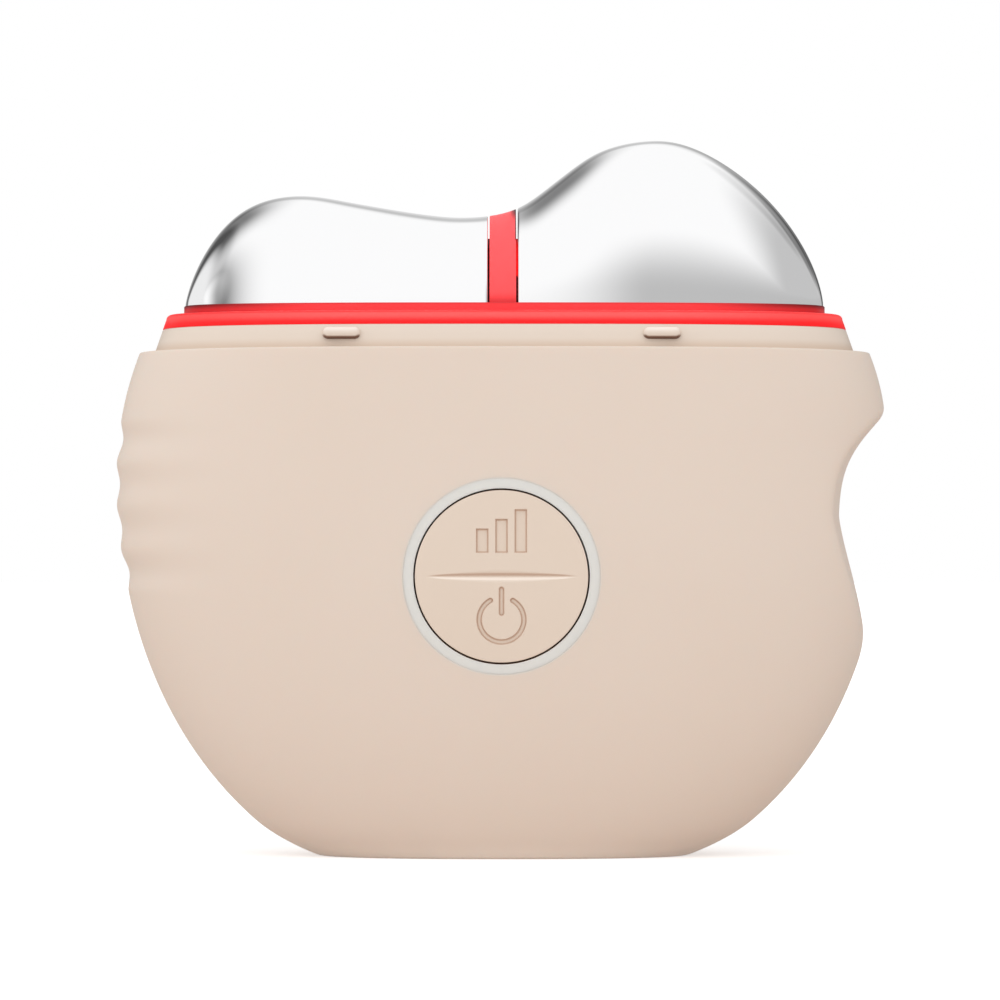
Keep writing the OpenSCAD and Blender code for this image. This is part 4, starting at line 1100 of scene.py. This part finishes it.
# Each row: slot, finish, roughness, relief as (size, depth) or None, and the shader's constants.
works = {}
for slot, finish_name, level, relief, constants in [
    ("white_silicone", "clear_white_silicone", 0.5, None,
     dict(Base_Color=(0.82, 0.82, 0.8, 1), Subsurface_Weight=0.3, Subsurface_Scale=1.5 * MM)),
    ("grey_seal", "seal_rubber", 0.75, (0.2, 0.01), dict(Base_Color=(0.09, 0.09, 0.095, 1))),
    ("screw_steel", "nickel_plate", 0.24, (0.3, 0.003),
     dict(Metallic=1.0, Base_Color=(0.62, 0.6, 0.56, 1))),
    ("socket_steel", "stamped_steel", 0.2, (0.3, 0.002),
     dict(Metallic=1.0, Base_Color=(0.66, 0.66, 0.68, 1))),
    ("lug_brass", "tinned_brass", 0.3, None, dict(Metallic=1.0, Base_Color=(0.76, 0.6, 0.3, 1))),
    ("board_white", "white_mask", 0.4, None, dict(Coat_Weight=0.3)),
    ("board_green", "green_mask", 0.35, None, dict(Coat_Weight=0.4)),
    ("led_lens", "lamp_lens", 0.15, None, dict(Base_Color=(0.9, 0.84, 0.55, 1), Coat_Weight=0.5)),
    ("black_plastic", "black_moulding", 0.45, (0.15, 0.004),
     dict(Base_Color=(0.018, 0.018, 0.02, 1))),
    ("ferrite", "sintered_ferrite", 0.7, (0.1, 0.01), dict(Base_Color=(0.045, 0.045, 0.05, 1))),
    ("capacitor_ceramic", "fired_ceramic", 0.55, (0.1, 0.005), {}),
    ("frame_plastic", "white_moulding", 0.5, (0.2, 0.004), dict(Base_Color=(0.74, 0.74, 0.72, 1))),
    ("foam_tape", "black_foam", 0.9, (0.4, 0.05), dict(Base_Color=(0.03, 0.03, 0.03, 1))),
    ("cell_foil", "cell_pouch", 0.35, (3.0, 0.04),
     dict(Metallic=1.0, Base_Color=(0.62, 0.64, 0.66, 1))),
    ("lead_insulation", "lead_jacket", 0.45, None, dict(Base_Color=(0.5, 0.02, 0.02, 1))),
]:
    finish = works[slot] = Finish(finish_name, **constants)
    finish.set("Roughness", level - 0.04 + 0.08 * finish.noise(1.5, 3))
    if relief:
        size, depth = relief
        finish.grain(finish.noise(size, 2, 0.55), depth)
green = works["board_green"]
green.set("Base Color", green.blend(green.step(green.noise(1.6, 1), 0.5, 0.53),
                                    (0.008, 0.1, 0.035, 1), (0.014, 0.15, 0.055, 1)))
white = works["board_white"]
white.set("Base Color", white.blend(white.step(white.noise(2.2, 1), 0.5, 0.53),
                                    (0.82, 0.82, 0.8, 1), (0.86, 0.86, 0.84, 1)))
ceramic = works["capacitor_ceramic"]
ceramic.set("Base Color", ceramic.blend(ceramic.noise(0.4, 2), (0.4, 0.25, 0.13, 1),
                                        (0.52, 0.36, 0.22, 1)))
for part in frame["record"]["subparts"]:
    if part["material_slot"] in works:
        works[part["material_slot"]].on(nodes[part["node"]])


# ---- Camera, lights and backdrop ----
# The camera stands half a metre in front, just below the middle of the body, and looks very
# slightly up. A white studio surrounds the device, brightest in front and above to the left.

camera_data = bpy.data.cameras.new("camera")
camera = bpy.data.objects.new("camera", camera_data)
bpy.context.scene.collection.objects.link(camera)
bpy.context.scene.camera = camera
camera_distance = 500 * MM
camera_height = 31.5 * MM
aim_height = 37.95 * MM
camera_side = -0.16 * MM
look_up = math.atan((aim_height - camera_height) / camera_distance)
camera.location = (camera_side, -camera_distance, camera_height)
camera.rotation_euler = (math.pi / 2 + look_up, 0, 0)
camera_data.lens = 168.1
camera_data.sensor_width = 36
camera_data.clip_start = 0.01
camera_data.clip_end = 50

# The floor is white where the camera sees it, apart from the object's shadow, and grey in a
# mirror. What it throws back onto the object is warm and dim, with a fifth of even grey that
# reaches into its own shade under the foot.
floor_mesh = bpy.data.meshes.new("floor")
floor_half = 6.0
floor_corners = [(floor_half * x, floor_half * y, 0) for x, y in ((-1, -1), (1, -1), (1, 1), (-1, 1))]
floor_mesh.from_pydata(floor_corners, [], [(0, 1, 2, 3)])
floor = bpy.data.objects.new("floor", floor_mesh)
bpy.context.scene.collection.objects.link(floor)
paper = Finish("paper", Base_Color=(0.8, 0.8, 0.8, 1), Roughness=0.9, Specular_IOR_Level=0.0,
               Emission_Color=(1, 1, 1, 1), Emission_Strength=0.5)
seen = paper.node("ShaderNodeLightPath", {}, {}, "Is Camera Ray")
dim = paper.node("ShaderNodeBsdfDiffuse", {}, {"Color": (0.8, 0.66, 0.58, 1)})
mirrored = paper.node("ShaderNodeLightPath", {}, {}, "Is Glossy Ray")
grey_paper = paper.node("ShaderNodeEmission", {}, {"Color": (0.82, 0.81, 0.8, 1)})
unseen = paper.node("ShaderNodeMixShader", {}, {0: larger(mirrored, 0.2), 1: dim, 2: grey_paper})
white_paper = Signal(paper, paper.shader.outputs[0])
floor_shown = paper.node("ShaderNodeMixShader", {}, {0: seen, 1: unseen, 2: white_paper})
paper.feed(paper.tree.nodes["Material Output"].inputs["Surface"], floor_shown)
paper.on(floor)

world = bpy.data.worlds.new("studio")
bpy.context.scene.world = world
world.use_nodes = True
studio = Nodes(world.node_tree)
way = studio.node("ShaderNodeTexCoord", {}, {}, "Generated")


def facing(x, y, z):
    """How far a ray's way agrees with a direction, from -1 to 1."""
    unit = np.array([x, y, z]) / math.sqrt(x * x + y * y + z * z)
    return studio.node("ShaderNodeVectorMath", {"operation": "DOT_PRODUCT"},
                       {0: way, 1: tuple(unit)}, "Value")


def patch(x, y, z, inner, outer):
    """Share of a round patch of the studio, full within an angle and gone past another."""
    return studio.step(facing(x, y, z), math.cos(math.radians(outer)),
                       math.cos(math.radians(inner)))


soft_light = larger(0.72 + 0.65 * facing(-0.28, -0.78, 0.42), 0.5)

# What a mirror shows of the studio: white panels, with the dark gap round the left one, a grey
# wall on the right, and round patches that are darker or, below zero, lighter.
sideways, away, upward = facing(1, 0, 0), facing(0, 1, 0), facing(0, 0, 1)
left_panel = facing(-0.964, 0.265, -0.022)
gap_behind = (studio.step(left_panel, 0.177, 0.576) * (1.0 - studio.step(left_panel, 0.749, 0.876))
              * studio.step(away, -0.287, 0.504))
gap_beside = (studio.step(left_panel, 0.173, 0.957) * (1.0 - studio.step(left_panel, 0.564, 0.902))
              * (1.0 - studio.step(away, 0.2, 0.45)) * (1.0 - studio.step(upward, 0.126, 0.842)))
wall_low = 1.0 - studio.step(upward + 0.034 * sideways, 0.102, 0.493)
wall_right = 0.92 * studio.step(sideways, 0.485, 0.809) * (1.0 - studio.step(upward, 0.8, 1.0))
grey_wall = (studio.step(sideways, -0.015, 0.152) * larger(wall_low, wall_right)
             * studio.step(upward, -0.03, 0.06))
dark = (0.79 * gap_behind + 1.59 * gap_beside + 0.13 * studio.step(left_panel, 0.6, 0.7)
        + 0.48 * grey_wall)
for shade, patch_way, inner, outer in [
    (0.38, (-0.061, 0.99, 0.126), 19.7, 38.6),
    (-0.5, (-0.148, 0.986, 0.079), 2.2, 36.7),
    (0.306, (-0.054, 0.999, -0.008), 2.7, 8),
    (0.314, (0.236, 0.9, 0.367), 0.2, 30.1),
    (0.22, (0.632, 0.398, 0.665), 0.1, 18.5),
    (0.571, (0.553, 0.702, 0.449), 0, 18.9),
    (-0.34, (-0.887, -0.427, 0.178), 0.1, 17.5),
]:
    dark = dark + shade * patch(*patch_way, inner, outer)
mirror_light = larger(1.0 - dark, 0.03)
for_mirror = studio.node("ShaderNodeLightPath", {}, {}, "Is Glossy Ray")
for_camera = studio.node("ShaderNodeLightPath", {}, {}, "Is Camera Ray")
plain = studio.node("ShaderNodeBackground", {}, {"Color": (1, 1, 1, 1), "Strength": 1.0})
lit = studio.node("ShaderNodeBackground", {}, {"Color": (1, 1, 1, 1), "Strength": soft_light})
glossy = studio.node("ShaderNodeBackground", {}, {"Color": (1, 1, 1, 1), "Strength": mirror_light})
bounced = studio.node("ShaderNodeMixShader", {}, {0: for_mirror, 1: lit, 2: glossy})
studio_shown = studio.node("ShaderNodeMixShader", {}, {0: for_camera, 1: bounced, 2: plain})
studio.feed(world.node_tree.nodes["World Output"].inputs["Surface"], studio_shown)

bpy.context.scene.view_settings.view_transform = "Standard"
